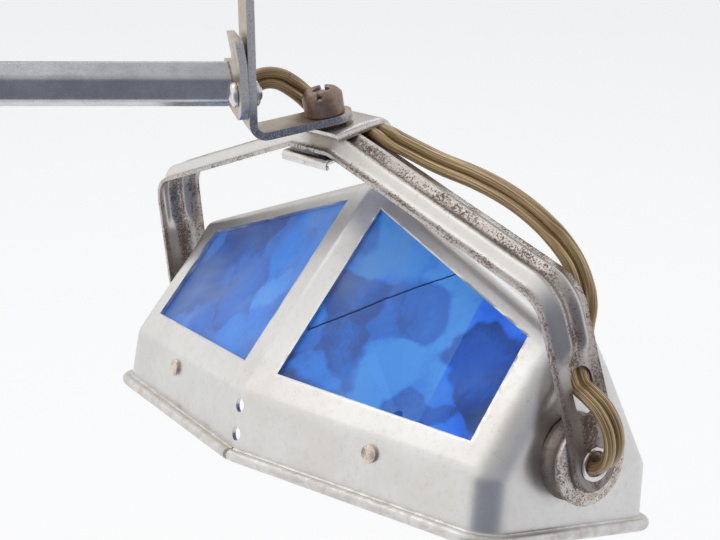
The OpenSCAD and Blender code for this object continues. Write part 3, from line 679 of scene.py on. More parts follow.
def mitre_x(y, inset=0.0):
    """Where a line along the arm at depth y meets the knuckle plate's left face."""
    return KNUCKLE_AT.x + (PLATE_X - inset - (y - KNUCKLE_AT.y) * SKEW_SIN) / SKEW_COS


def arm_radius(angle):
    """Distance from the arm's axis to its hexagonal outside, with the corners slightly cut."""
    sector = (angle + math.pi / 6) % (math.pi / 3) - math.pi / 6
    flat = ARM_FLATS / 2 / math.cos(math.pi / 6 - abs(sector))
    return min(flat, ARM_FLATS / 2 / math.cos(math.pi / 6) - CORNER_CUT - 0.02 * (sector * 8) ** 2)


def arm_tube():
    """Six rings: chamfered outside from start to mitred end, then the bore back to the start."""
    steps = 96
    outside = ((0.94, 0, 0.0), (1, 0, TUBE_CHAMFER), (1, 1, TUBE_CHAMFER), (0.95, 1, 0.0))
    rings = outside + ((None, 1, 0.0), (None, 0, 0.0))
    verts = []
    for scale, at_end, inset in rings:
        for k in range(steps):
            a = 2 * math.pi * k / steps
            r = arm_radius(a) * scale if scale else ARM_BORE_R
            y, z = r * math.sin(a), r * math.cos(a)
            verts.append((mitre_x(y, inset) if at_end else TUBE_START + inset, y, z))
    faces = ring_quads(len(rings), steps, closed=True)
    dress(make("hex_arm", verts, faces, ARM), "arm", "brushed_tube", ["arm_tube"], sharp=20)


def knuckle_plate():
    """The plate that closes the arm: a round lobe below, a leaning ear above, a wide cheek behind."""
    lobe, half, top, lean_z, cheek_y, cheek_z = 6.0, 5.0, 14.2, 8.6, 14.4, 5.6
    lean = math.tan(math.radians(9))
    levels = [-lobe * math.cos(math.pi / 2 * k / 8) for k in range(8)]
    levels += [0, 2.5, 5, 7.5, lean_z, 9.2, 10, 12, 13.4, 14, top]
    front, back = [], []
    for z in levels:
        chord = math.sqrt(max(lobe ** 2 - z * z, 0))
        low = -chord if z < 3.3 else -half - 0.4 * smooth_step((6 - z) / 3)
        if z > top - 0.8:
            low += 0.5 * ((z - top + 0.8) / 0.8) ** 2
        high = cheek_y if abs(z) < cheek_z else (chord if z < 0 else half)
        shift = -lean * max(z - lean_z, 0) - 0.02 * max(z - 4, 0)
        for out, x in ((front, PLATE_X), (back, PLATE_X + STRIP_T)):
            out.append([(x + shift, low + (high - low) * k / 12, z) for k in range(13)])
    plate = slab("knuckle_cheek", front, back, KNUCKLE)
    bevel(plate, 0.28, 3)
    dress(plate, "arm", "worn_chrome", ["knuckle_plate"], cheek_metal)


def knuckle_screw():
    head = facing(KNUCKLE, (PLATE_X, 0, 0), (-1, 0, 0), (0, 0.35, 1))
    profile = [(-4.6, 0), (-4.6, 1.9), (0.0, 1.95), (0.0, 2.75), (0.12, 2.95), (0.5, 3.0), (0.9, 2.85),
               (1.35, 2.45), (1.7, 1.85), (1.92, 1.1), (2.0, 0.4), (2.0, 0)]
    screw = lathe("knuckle_screw_head", profile, head, 72)
    slot_at = head @ Matrix.Translation((1.15 * MM, 0, 0)) @ turned(90, "Y")
    cut(screw, slot_cutter(slot_at, 0.75, 5, 0, 2))
    bevel(screw, 0.07, 2, 50)
    dress(screw, "arm", "bright_chrome", ["knuckle_screw"])
    nut_x = STRIP_T / 2 + PLATE_GAP
    profile = [(nut_x, 1.9), (nut_x, 3.0), (nut_x + 0.15, 3.1), (nut_x + 0.95, 3.1), (nut_x + 1.25, 2.8),
               (nut_x + 1.3, 2.2), (nut_x + 1.3, 1.9)]
    dress(lathe("knuckle_nut_ring", profile, KNUCKLE), "arm", "bright_chrome", ["knuckle_nut"])
    profile = [(nut_x, 0), (nut_x, 1.85), (nut_x + 1.55, 1.85), (nut_x + 1.95, 1.5), (nut_x + 2.05, 0.6),
               (nut_x + 2.05, 0)]
    dress(lathe("knuckle_screw_end", profile, KNUCKLE, wobble=0.05), "arm", "bright_chrome")


# ---------------------------------------------------------------- bracket, bolt and nut
STRIP_W = 10.0
STRIP_TOP = 56.0
BEND_R = 2.1
TONGUE_END = 1.4
STACK_H = 6.6
LOWER_GAP = 0.55
CLAMP_T = 1.0
BAND_SPACE = 1.0


def bracket():
    """Strip and tongue as one bent sheet: rows follow the side outline's middle line."""
    to_strip = BRACKET.inverted() @ BOLT
    tongue_dir = to_strip.to_3x3().col[0]
    up = to_strip.to_3x3().col[2]
    seat = to_strip.translation / MM - up * STRIP_T / 2
    corner_z = (seat - tongue_dir * (seat.x / tongue_dir.x)).z
    tip = seat + tongue_dir * (TONGUE_END + STRIP_W / 2)
    path = rounded_path([(0, STRIP_TOP), (0, corner_z), (tip.x, tip.z)], [BEND_R + STRIP_T / 2], 1.0)
    total = sum((q - p).length for (p, _), (q, _) in zip(path, path[1:]))
    extra = [k * 0.18 for k in range(1, 6)]
    s = 0.0
    rows = []
    for i, (p, u) in enumerate(path):
        if i:
            s += (p - path[i - 1][0]).length
        rows.append((s, p, u))
        if i == 0:
            rows += [(e, p + u * e, u) for e in extra]
        if i == len(path) - 2:
            q, end_u = path[-1]
            rows += [(total - e, q - end_u * e, end_u) for e in reversed(extra)]
    rows.sort(key=lambda row: row[0])
    front, back = [], []
    for s, p, u in rows:
        d = min(s, total - s)
        half = STRIP_W / 2
        if d < half:
            half = math.sqrt(max(half ** 2 - (half - d) ** 2, 0.0)) + 0.001
        side = Vector((-u.y, u.x)) * STRIP_T / 2
        for out, sign in ((front, 1), (back, -1)):
            q = p + side * sign
            out.append([(q.x, half * k / 6, q.y) for k in range(-6, 7)])
    strip = slab("bent_bracket", front, back, BRACKET)
    hole_at = facing(BRACKET, (0, 0, STRIP_TOP - STRIP_W / 2), (0, 1, 0), (1, 0, 0))
    cut(strip, prism("bore", circle(2.05, 40), -5, 5, hole_at))
    bevel(strip, 0.3, 3, 55)
    dress(strip, "bracket", "worn_chrome", ["swivel_bracket"], bracket_metal)


def clamp_hardware():
    """The round slotted nut on the tongue, and the bolt whose slotted head is under the stack."""
    upright = facing(BOLT, (0, 0, 0), (0, 0, 1), (1, 0, 0))
    profile = [(0.02, 2.06), (0.02, 4.5), (0.25, 4.8), (4.3, 4.88), (4.75, 4.82), (5.6, 4.15), (6.05, 3.65),
               (6.18, 3.3), (6.18, 2.5), (5.9, 2.06)]
    nut = lathe("slotted_round_nut", profile, upright, 80, wobble=0.006)
    cut(nut, slot_cutter(BOLT @ turned(70, "Z"), 1.25, 8, 4.5, 9))
    bevel(nut, 0.12, 2, 50)
    dress(nut, "bracket", "brown_steel", ["slotted_nut"])
    low = -STACK_H - BAND_SPACE - LOWER_GAP - CLAMP_T
    profile = [(low - 2.2, 0), (low - 2.2, 2.9), (low - 2.0, 3.3), (low - 1.4, 3.8), (low - 1.0, 3.98),
               (low - 0.4, 3.98), (low - 0.12, 3.7), (low - 0.05, 2.0), (4.9, 1.98), (5.4, 1.6), (5.6, 0.9),
               (5.65, 0)]
    bolt = lathe("slotted_bolt", profile, upright, 72, wobble=0.008)
    cut(bolt, slot_cutter(BOLT @ turned(-35, "Z"), 1.0, 6, low - 4, low - 1.3))
    dress(bolt, "bracket", "brown_steel", ["clamp_bolt"], sharp=30)


# ---------------------------------------------------------------- yoke
LEG_X, LEG_BEND_H, CORNER_X, CORNER_H, YOKE_H, TOP_FLAT = 81.0, 11.0, 76.9, 40.5, 62.5, 7.7
YOKE_FOLDS = [30, 9, 10, 10, 9, 30]
BAND_T, RIB_H, LEG_END_R = 0.9, 2.9, 6.5
RIB_DEPTH_BEHIND = 0.7
RIB_FADE_Z, RIB_FADE_H = 23.5, 5.5
LEG_ZONE = 14
SLOT_Y, SLOT_LOW, SLOT_HIGH, SLOT_R = 0.3, 15.0, 20.0, 3.1
BESIDE_RIGHT = turned(90, "Z") @ turned(90, "X")


def rib(y):
    """Height of the pressed profile above the band's edge: two soft crests with a trough between."""
    a = abs(y)
    return 0.12 + 2.55 * (1 - smooth_step((a - 2.1) / 3.4)) * (1 - 0.62 * (1 - smooth_step((a + 0.4) / 3.0)))


def yoke():
    """The ribbed band, swept along its bent outline, with round leg ends and the slot for the flex."""
    right = [(LEG_X, -LEG_END_R), (LEG_X, LEG_BEND_H), (CORNER_X, CORNER_H), (TOP_FLAT, YOKE_H)]
    rows = rounded_path(right + [(-x, z) for x, z in reversed(right)], YOKE_FOLDS, 1.2)
    first, last = rows[0], rows[-1]
    tip = [0.12, 0.35, 0.7]
    rows[1:1] = [(first[0] + first[1] * e, first[1]) for e in tip]
    rows[-1:-1] = [(last[0] - last[1] * e, last[1]) for e in reversed(tip)]
    across = [-6.5, -6.2, -5.9, -5.5, -5.1, -4.7, -4.3, -3.9, -3.5, -3.2, -2.9, -2.5, -2.1, -1.7, -1.3,
              -0.9, -0.4]
    across += [-y for y in reversed(across)]
    front, back = [], []
    for p, u in rows:
        out = Vector((u.y, -u.x))
        z = p.y
        width = 1.0 if z > 0 else math.sqrt(max(1 - (z / LEG_END_R) ** 2, 0)) + 0.001
        fade = smooth_step((z - RIB_FADE_Z) / RIB_FADE_H) if abs(p.x) > CORNER_X - LEG_ZONE else 1.0
        for grid, drop, deep in ((front, 0.0, 1.0), (back, -BAND_T, RIB_DEPTH_BEHIND)):
            row = []
            for y in across:
                wave = 0.07 * noise.noise(Vector((p.x * 0.09, y * 0.2, z * 0.09)))
                q = p + out * (rib(y) * fade * deep + drop + wave)
                row.append((q.x, y * width, q.y))
            grid.append(row)
    band = slab("ribbed_yoke", front, back, YOKE, uv=True)
    slot = circle(SLOT_R, 48, (SLOT_Y, SLOT_HIGH))[:25] + circle(SLOT_R, 48, (SLOT_Y, SLOT_LOW))[24:]
    cut(band, prism("slot", slot, LEG_X - 5, LEG_X + 6, YOKE @ BESIDE_RIGHT))
    dress(band, "yoke", "rusted_plating", ["yoke"], sharp=50)


def drilled(plate, radius, z):
    """Bores a plate for the bolt and breaks its edges."""
    cut(plate, prism("bore", circle(radius, 32), z - 2, z + 3, YOKE))
    bevel(plate, 0.2, 2, 50)
    return plate


def upper_clamp_plate():
    """The plate over the flex: its far edge turns down steeply and its right edge curls down a little."""
    z = YOKE_H + RIB_H
    top, low = [], []
    left, right = -6.0, 8.5
    profile = [(-4.0, 0.0), (-3.6, 0.0), (-1, 0.05), (4, 0.1), (9.2, 0.1), (10.2, 0.0), (10.8, -0.35),
               (11.15, -0.9), (11.25, -1.6), (11.28, -2.4), (11.25, -3.3)]
    curl = [0.0] * 10 + [0.05, 0.22, 0.55, 0.95]
    for y, drop in profile:
        steep = smooth_step((y - 9.2) / 2.0)
        x0, x1 = left, right
        if y > 9.8:
            x0, x1 = left + 4 * smooth_step((y - 9.8) / 0.8), right - 0.3
        xs = [x0 + (x1 - x0) * k / 10 for k in range(11)] + [x1 + 0.5, x1 + 0.85, x1 + 1.0]
        for grid, t in ((top, CLAMP_T), (low, 0.0)):
            off_z = t * (1 - steep)
            off_y = t * steep * 0.75
            grid.append([(x, y + off_y, z + drop + off_z - c) for x, c in zip(xs, curl)])
    plate = drilled(slab("flex_clip_plate", top, low, YOKE), 2.3, z)
    dress(plate, "yoke", "worn_chrome", ["upper_clamp_plate"], clip_metal)


def lower_clamp_plate():
    """The plate under the yoke, with its near edge turned down as a lip."""
    z = YOKE_H - BAND_SPACE - LOWER_GAP - CLAMP_T
    half = 9.0
    lip = [(7.5, 1.0, 0.0), (4, 1.0, 0.0), (0, 1.0, 0.0), (-4, 1.0, 0.0), (-7.2, 1.0, 0.0),
           (-7.8, 0.95, -0.05), (-8.15, 0.6, -0.35), (-8.36, 0.1, -0.7), (-8.4, -0.35, -0.98),
           (-8.4, -0.75, -1.0), (-8.38, -1.15, -1.0)]
    xs = [-half + 2 * half * k / 14 for k in range(15)]
    outer = [[(x, y, z + dz) for x in xs] for y, dz, turn in lip]
    inner = [[(x, y - turn, z + dz - (1 + turn)) for x in xs] for y, dz, turn in lip]
    plate = drilled(slab("lower_lip_plate", outer, inner, YOKE), 2.2, z)
    dress(plate, "yoke", "bright_chrome", ["lower_clamp_plate"])


# ---------------------------------------------------------------- pivots
CUP_X, CUP_LEN = 74.22, 3.85


def pivots():
    eyelet = [(68.8, 2.85), (68.8, 3.28), (80.95, 3.28), (81.0, 3.6), (81.05, 3.95), (81.3, 4.0),
              (81.62, 3.8), (81.7, 3.45), (81.6, 3.1), (81.3, 2.85)]
    dress(lathe("hollow_eyelet", eyelet, YOKE), "yoke", "bright_chrome", ["pivot_eyelet_right"])
    half_turn = turned(180, "Z")
    left = YOKE @ half_turn
    rivet = [(68.8, 0), (68.8, 3.1), (69.0, 3.28), (81.0, 3.28), (81.0, 4.4), (81.25, 4.6), (82.0, 4.3),
             (82.8, 3.5), (83.3, 2.2), (83.42, 0.8), (83.42, 0)]
    dress(lathe("pivot_rivet_head", rivet, left), "yoke", "bright_chrome", ["pivot_rivet_left"])
    disc = [(78.9, 3.4), (78.9, 9.7), (79.05, 9.97), (79.6, 10.0), (79.9, 9.95), (80.0, 9.6), (80.0, 3.4)]
    for name, yoke_frame, shade_frame in (("right", YOKE, SHADE), ("left", left, SHADE @ half_turn)):
        dress(lathe("disc_" + name, disc, yoke_frame, 96, 0.004), "yoke", "rusted_plating",
              ["leg_disc_" + name], disc_metal)
        pivot = shade_frame @ Matrix.Translation((0, 0, PIVOT_H * MM))
        x0, x1 = CUP_X - 0.25, CUP_X + CUP_LEN
        cup = [(x0, 3.4), (x0, 9.95), (CUP_X + 0.5, 10.0), (CUP_X + 1.4, 9.9), (x1 - 1.2, 9.35),
               (x1 - 0.5, 8.8), (x1 - 0.12, 8.1), (x1, 7.4), (x1, 3.4)]
        dress(lathe("pivot_cup_shell_" + name, cup, pivot, 96), "shade", "cup_metal", ["pivot_cup_" + name])
        ring = [(x1, 3.4), (x1, 9.2), (x1 + 0.12, 9.45), (x1 + 0.5, 9.5), (x1 + 0.7, 9.35), (x1 + 0.74, 9.0),
                (x1 + 0.74, 3.4)]
        dress(lathe("cup_ring_" + name, ring, pivot, 96), "shade", "turned_steel", ["cup_washer_" + name],
              washer_metal)


# ---------------------------------------------------------------- shade
END_X, END_SLOPE = 75.0, 0.055
MID_Y, CORNER_Y = 39.3, 24.2
FACE_Y, FACE_Z = 38.9, 14.0
ROOF_Z, EAVE_Y, EAVE_Z = 65.9, 5.2, 41.7
SHEET_T = 1.0
PIVOT_HOLE_R, SEAM_HOLE_R, SEAM_HOLES_Z = 3.3, 1.65, (3.5, 10.5)
MID_FOLD, END_FOLD, BACK_FOLD, ROOF_FOLD = 4.0, 7.0, 3.0, 4.4
HEM_H = 3.0
WINDOW = ((7.6, 6.9), (66.3, 6.9), (67.2, 33.7), (11.4, 54.1))


def end_at(z):
    return END_X - END_SLOPE * z


def plane(a, b, c):
    """Unit normal and offset of a plane through three points, facing away from the shade's inside."""
    a, b, c = (np.array(p, float) for p in (a, b, c))
    n = np.cross(b - a, c - a)
    n /= np.linalg.norm(n)
    d = n @ a
    return (n, d) if d > n @ np.array((20.0, -5.0, 20.0)) else (-n, -d)


SKIRT = plane((0, -MID_Y, 0), (END_X, -CORNER_Y, 0), (0, -FACE_Y, FACE_Z))
FACE = plane((0, -FACE_Y, FACE_Z), (end_at(EAVE_Z), -EAVE_Y, EAVE_Z), (0, -EAVE_Y, ROOF_Z))
ROOF = plane((0, 0, ROOF_Z), (0, -EAVE_Y, ROOF_Z), (end_at(EAVE_Z), 0, EAVE_Z))
END = plane((END_X, 0, 0), (END_X, 5, 0), (end_at(30), 0, 30))
MIRRORS = [np.array(m, float) for m in ((1, 1, 1), (-1, 1, 1), (1, -1, 1), (-1, -1, 1))]


def meet(*planes):
    """The point where three planes meet."""
    return np.linalg.solve(np.array([p[0] for p in planes]), np.array([p[1] for p in planes]))


MIDDLE = (np.array((1.0, 0, 0)), 0.0)
HALF = (np.array((0, 1.0, 0)), 0.0)
BOTTOM = (np.array((0, 0, 1.0)), 0.0)
FACE_AT = np.array((0, -FACE_Y, FACE_Z))
FACE_U = meet(SKIRT, FACE, END) - FACE_AT
FACE_U /= np.linalg.norm(FACE_U)
FACE_N = FACE[0]
FACE_V = np.cross(FACE_N, FACE_U)


def on_face(u, v, depth=0.0):
    return FACE_AT + FACE_U * u + FACE_V * v + FACE_N * depth


def fold_radius(p):
    """Fold radius near a point: soft at the ends, tighter in the middle and along the roof."""
    corner = END_FOLD + (BACK_FOLD - END_FOLD) * smooth_step((p[1] + 8) / 16)
    ends = MID_FOLD + (corner - MID_FOLD) * smooth_step((abs(p[0]) - 25) / 35)
    return ends + (ROOF_FOLD - ends) * smooth_step((p[2] - 34) / 10)


def round_folds(points):
    """Moves sharp points onto a surface with rounded folds. Gives the outer and inner points."""
    points = np.array(points, float)
    radius = np.array([fold_radius(p) for p in points])
    planes = [(n * m, d) for n, d in (SKIRT, FACE, ROOF, END) for m in MIRRORS]
    ball = points.copy()
    carry = [np.zeros_like(points) for _ in planes]
    for _ in range(160):
        for k, (n, d) in enumerate(planes):
            shifted = ball + carry[k]
            over = np.maximum(shifted @ n - (d - radius), 0)
            ball = shifted - over[:, None] * n
            carry[k] = shifted - ball
    away = points - ball
    size = np.linalg.norm(away, axis=1)
    away /= np.maximum(size, 1e-9)[:, None]
    dents = np.array([0.13 * noise.noise(Vector(p) * 0.045) for p in points])
    outer = ball + away * (radius + np.minimum(dents, 0.0) - 0.02)[:, None]
    return outer, outer - away * SHEET_T


def spread(n, dense_low=True, dense_high=True):
    """Parameters from 0 to 1, crowded towards the marked ends."""
    ways = {(True, True): lambda t: 0.5 - 0.5 * math.cos(math.pi * t),
            (True, False): lambda t: 1 - math.cos(math.pi / 2 * t),
            (False, True): lambda t: math.sin(math.pi / 2 * t)}
    return [ways[dense_low, dense_high](k / n) for k in range(n + 1)]


def patch(a, b, c, d, across, along):
    """Grid between the edge a-b and the edge d-c."""
    return [[(1 - t) * ((1 - s) * a + s * b) + t * ((1 - s) * d + s * c) for s in across] for t in along]


def shade_quadrant():
    """Sharp grids of the quadrant with x > 0 and y < 0."""
    a0 = meet(SKIRT, MIDDLE, BOTTOM)
    b0 = meet(SKIRT, END, BOTTOM)
    a1 = meet(SKIRT, FACE, MIDDLE)
    b1 = meet(SKIRT, FACE, END)
    a2 = meet(FACE, ROOF, MIDDLE)
    b2 = meet(FACE, ROOF, END)
    a3 = meet(ROOF, MIDDLE, HALF)
    b3 = meet(ROOF, END, HALF)
    w = [on_face(*p) for p in WINDOW]
    e1 = np.array((b1[0], 0, b1[2]))
    e0 = np.array((b0[0], 0, 0.0))
    wide, tall = spread(44), spread(34)
    border = spread(14, True, False)
    skirt_up = spread(12, False, True)
    end_in = spread(12, True, False)
    return [patch(a0, b0, b1, a1, wide, skirt_up),
            patch(a1, b1, w[1], w[0], wide, border),
            patch(b1, b2, w[2], w[1], tall, border),
            patch(b2, a2, w[3], w[2], wide, border),
            patch(a2, a1, w[0], w[3], tall, border),
            patch(a2, b2, b3, a3, wide, spread(6, True, False)),
            patch(b0, e0, e1, b1, end_in, skirt_up),
            patch(b1, e1, b3, b2, end_in, tall)]


def mirrored(grids):
    """Welded points and faces of the whole shell, from the grids of one quadrant."""
    points, faces = [], []
    for grid in grids:
        rows, cols = len(grid), len(grid[0])
        flat = [p for row in grid for p in row]
        for mirror in MIRRORS:
            base = sum(len(p) for p in points)
            points.append(np.array(flat) * mirror)
            corners = [base + i * cols + j for i in range(rows - 1) for j in range(cols - 1)]
            faces += [(a, a + 1, a + cols + 1, a + cols) for a in corners]
    points = np.concatenate(points)
    keys = {}
    index = [keys.setdefault(tuple(np.round(p, 4)), i) for i, p in enumerate(points)]
    order = sorted(set(index))
    place_of = {i: k for k, i in enumerate(order)}
    loops = [list(dict.fromkeys(place_of[index[i]] for i in face)) for face in faces]
    return points[order], [loop for loop in loops if len(loop) > 2]


def shade_shell():
    """Two skins a sheet's thickness apart, joined along their open edges, with pivot and seam holes."""
    points, quads = mirrored(shade_quadrant())
    outer, inner = round_folds(points)
    count = len(outer)
    edges = {}
    for loop in quads:
        for a, b in zip(loop, loop[1:] + loop[:1]):
            key = (min(a, b), max(a, b))
            edges[key] = edges.get(key, 0) + 1
    rim = [(a, b, b + count, a + count) for (a, b), n in edges.items() if n == 1]
    inside = [[k + count for k in loop] for loop in quads]
    verts = [tuple(p) for skin in (outer, inner) for p in skin]
    shell = make("pressed_shade", verts, quads + inside + rim, SHADE)
    holes = [((0, -39, z), (0, -1, 0), SEAM_HOLE_R, 6) for z in SEAM_HOLES_Z]
    holes += [((x, 0, PIVOT_H), (1, 0, 0), PIVOT_HOLE_R, 4) for x in (END_X, -END_X)]
    cut(shell, *(prism("hole", circle(r, 36), -deep, deep, facing(SHADE, at, out) @ turned(90, "Y"))
                 for at, out, r, deep in holes))
    bevel(shell, 0.22, 2, 55)
    dress(shell, "shade", "shade_metal", ["shade_shell"], sharp=55)


def rim_line():
    """The shade's lower outline with round corners, as (point, outward direction) pairs."""
    steps = 44
    hexagon = [(0, -MID_Y), (END_X, -CORNER_Y), (END_X, CORNER_Y), (0, MID_Y), (-END_X, CORNER_Y),
               (-END_X, -CORNER_Y)]
    bends = []
    for i, p in enumerate(hexagon):
        p = Vector(p)
        a = (Vector(hexagon[i - 1]) - p).normalized()
        b = (Vector(hexagon[(i + 1) % 6]) - p).normalized()
        half = math.acos(max(-1, min(1, a.dot(b)))) / 2
        at_seam = i % 3 == 0
        r = 4.2 if at_seam else (7.2 if p.y < 0 else 3.4)
        reach = r / math.tan(half)
        centre = p + (a + b).normalized() * (r / math.sin(half))
        bends.append((p + a * reach, centre, p + b * reach, 4 if at_seam else 14))
    points = []
    for i, (start, centre, stop, m) in enumerate(bends):
        v0, v1 = start - centre, stop - centre
        turn = math.atan2(v0.x * v1.y - v0.y * v1.x, v0.dot(v1))
        for k in range(m + 1):
            v = Matrix.Rotation(turn * k / m, 2) @ v0
            points.append((centre + v, v.normalized()))
        goal = bends[(i + 1) % 6][0]
        points += [(stop.lerp(goal, k / steps), v1.normalized()) for k in range(1, steps)]
    return points


def rim_hem():
    """The lower edge rolled outwards, open at the front and back folds where its ends meet."""
    points = rim_line()
    roll = [(0.0, 3.1), (0.32, 3.0), (0.5, 2.7), (0.95, 2.78), (1.5, 2.86), (2.0, 2.66), (2.4, 2.2),
            (2.56, 1.55), (2.42, 0.85), (2.0, 0.32), (1.4, 0.06), (0.6, 0.0), (-0.9, 0.0), (-0.9, 3.1)]
    halves = []
    for side in (1, -1):
        run = [(p, n) for p, n in points if p.x * side > 0.32]
        run.sort(key=lambda q: math.atan2(q[0].y, q[0].x * side))
        first, last = run[0][0], run[-1][0]
        run.insert(0, (Vector((side * 0.2, first.y - 0.04)), Vector((side * 0.19, -0.98))))
        run.append((Vector((side * 0.2, last.y + 0.04)), Vector((side * 0.19, 0.98))))
        verts = []
        for i, (p, n) in enumerate(run):
            ease = 1 - 0.10 * smooth_step(1 - min(i, len(run) - 1 - i) / 2)
            wave = 1 + 0.035 * noise.noise(Vector((p.x * 0.12, p.y * 0.12, 0)))
            for out, z in roll:
                q = p + n * (out * ease * wave if out > 0 else out)
                x = max(q.x * side, 0.17 + 0.10 * max(out, 0)) * side
                verts.append((x, q.y, z - HEM_H))
        m = len(roll)
        count = len(run)
        ends = [tuple(range(m)), tuple(range((count - 1) * m, count * m))[::-1]]
        halves.append(make("hem", verts, ring_quads(count, m) + ends, SHADE))
    dress(join("rolled_hem", halves), "shade", "hem_metal", ["rim_hem"], sharp=50)


def skirt_rivets():
    """Flat turned rivet heads with fine rings, two on each long side."""
    profile = [(-0.6, 0), (-0.6, 2.1), (0.35, 2.12), (0.55, 2.18), (0.68, 2.08), (0.72, 1.9), (0.63, 1.72),
               (0.72, 1.55), (0.64, 1.36), (0.73, 1.18), (0.66, 1.0), (0.74, 0.82), (0.68, 0.62), (0.75, 0.4),
               (0.72, 0.2), (0.73, 0)]
    heads = []
    for sx in (1, -1):
        for sy in (1, -1):
            n = SKIRT[0] * np.array((sx, sy, 1))
            at = np.array((41.0 * sx, -30.78 * sy, 9.4))
            heads.append(lathe("head", profile, facing(SHADE, tuple(at), tuple(n)), 40))
    dress(join("turned_rivets", heads), "shade", "rivet_metal", ["shade_rivets"], sharp=30)


# ---------------------------------------------------------------- panes
PANE_LOW, PANE_HIGH = -3.0, -1.1
PANE_OVERLAP = 2.2
CRACK = ((7.5, 19.1), (13.4, 23.6), (19.9, 28.5), (25.1, 32.8), (32.6, 38.3), (40.6, 43.8))


def face_frame(sx, sy):
    """A frame whose XY plane is one window face of the shade."""
    m = np.array((sx, sy, 1.0))
    x, n = FACE_U * m, FACE_N * m
    return SHADE @ basis(tuple(x), tuple(n), Vector(tuple(FACE_AT * m)) * MM)


def grow(outline, by):
    """A convex outline moved outwards by a fixed distance."""
    out = []
    n = len(outline)
    for i in range(n):
        a, p, b = (Vector(outline[(i + k) % n]) for k in (-1, 0, 1))
        u, v = (p - a).normalized(), (b - p).normalized()
        nu, nv = Vector((u.y, -u.x)), Vector((v.y, -v.x))
        mid = (nu + nv).normalized()
        out.append(p + mid * by / mid.dot(nu))
    return out


def glass_sheet(name, outline, where):
    """A whole pane with bevelled edges and its broad faces cut into triangles."""
    pane = prism(name, outline, PANE_LOW, PANE_HIGH, where)
    bevel(pane, 0.3, 2, 30)
    bm = bmesh.new()
    bm.from_mesh(pane.data)
    bmesh.ops.triangulate(bm, faces=[f for f in bm.faces if len(f.verts) > 4])
    bm.to_mesh(pane.data)
    bm.free()
    return pane


def crack_line(extra):
    """The crack's irregular line, shifted sideways by extra and run out past both window edges."""
    pts = [Vector(p) for p in CRACK]
    first, last = (pts[0] - pts[1]).normalized(), (pts[-1] - pts[-2]).normalized()
    pts = [pts[0] + first * 8] + pts + [pts[-1] + last * 12]
    out = []
    for a, b in zip(pts, pts[1:]):
        n = max(2, int((b - a).length / 0.9))
        for k in range(n):
            p = a.lerp(b, k / n)
            side = Vector((-(b - a).y, (b - a).x)).normalized()
            out.append(p + side * (0.16 * noise.noise(Vector((p.x * 0.9, p.y * 0.9, 3))) + extra))
    out.append(pts[-1] + Vector((0, extra)))
    return out


def beside(line, above):
    """An outline that covers everything above or below a line across the pane."""
    y = 90 if above else -40
    return line + [Vector((line[-1].x, y)), Vector((line[0].x, y))]


def cracked_pane(name, outline, where):
    """Two pieces of glass with a fine gap between them, a chip in the lower one and a near-black strip in the
    gap, so that the crack reads as a dark line.
    """
    parts = []
    for above, extra in ((True, 0.24), (False, -0.24)):
        part = prism("glass_part", outline, PANE_LOW, PANE_HIGH, where)
        cut(part, prism("cutter", beside(crack_line(extra), not above), -9, 9, where))
        if not above:
            chip = lathe("chip", [(-1.3, 0), (-0.6, 1.0), (0.7, 1.5), (0.7, 0)],
                         facing(where, (44.4, 7.2, -1.4), (0.2, -0.25, 1)), 9, 0.5)
            cut(part, chip)
        bevel(part, 0.12, 1, 30)
        parts.append(part)
    seam = crack_line(0.30)[9:-12] + crack_line(-0.30)[9:-12][::-1]
    return join(name, parts), prism("dirt_in_crack", seam, -2.9, -1.35, where)


def panes():
    for face, sy in (("front", 1), ("back", -1)):
        for end, sx in (("right", 1), ("left", -1)):
            name = face + "_" + end
            where = face_frame(sx, sy)
            face_v = SHADE.to_3x3() @ Vector(tuple(FACE_V * np.array((sx, sy, 1.0))))
            up = -1 if where.to_3x3().col[1].dot(face_v) < 0 else 1
            outline = soften([(p[0], p[1] * up) for p in grow(WINDOW, PANE_OVERLAP)], 1.2, 3)
            if name == "front_right":
                pane, dark_strip = cracked_pane("pane_glass_" + name, outline, where)
                dress(pane, "shade", "blue_glass", ["pane_" + name], sharp=25)
                dress(dark_strip, "shade", "blue_glass", [], crack_dark_strip)
            else:
                pane = glass_sheet("pane_glass_" + name, outline, where)
                dress(pane, "shade", "blue_glass", ["pane_" + name], sharp=30)


# ---------------------------------------------------------------- flex
def smooth_path(points, sides, step=0.6):
    """Catmull-Rom samples through the points with blended side directions."""
    pts = [Vector(p) for p in points]
    sds = [Vector(s).normalized() for s in sides]
    out = []
    for i in range(len(pts) - 1):
        p0, p1, p2, p3 = pts[max(i - 1, 0)], pts[i], pts[i + 1], pts[min(i + 2, len(pts) - 1)]
        n = max(2, int((p2 - p1).length / step))
        for k in range(n + (i == len(pts) - 2)):
            t = k / n
            p = 0.5 * ((2 * p1) + (p2 - p0) * t + (2 * p0 - 5 * p1 + 4 * p2 - p3) * t * t
                       + (3 * p1 - p0 - 3 * p2 + p3) * t ** 3)
            out.append((p, sds[i].lerp(sds[i + 1], smooth_step(t)).normalized()))
    return out


CORE_R, CORE_PITCH = 1.36, 2.64


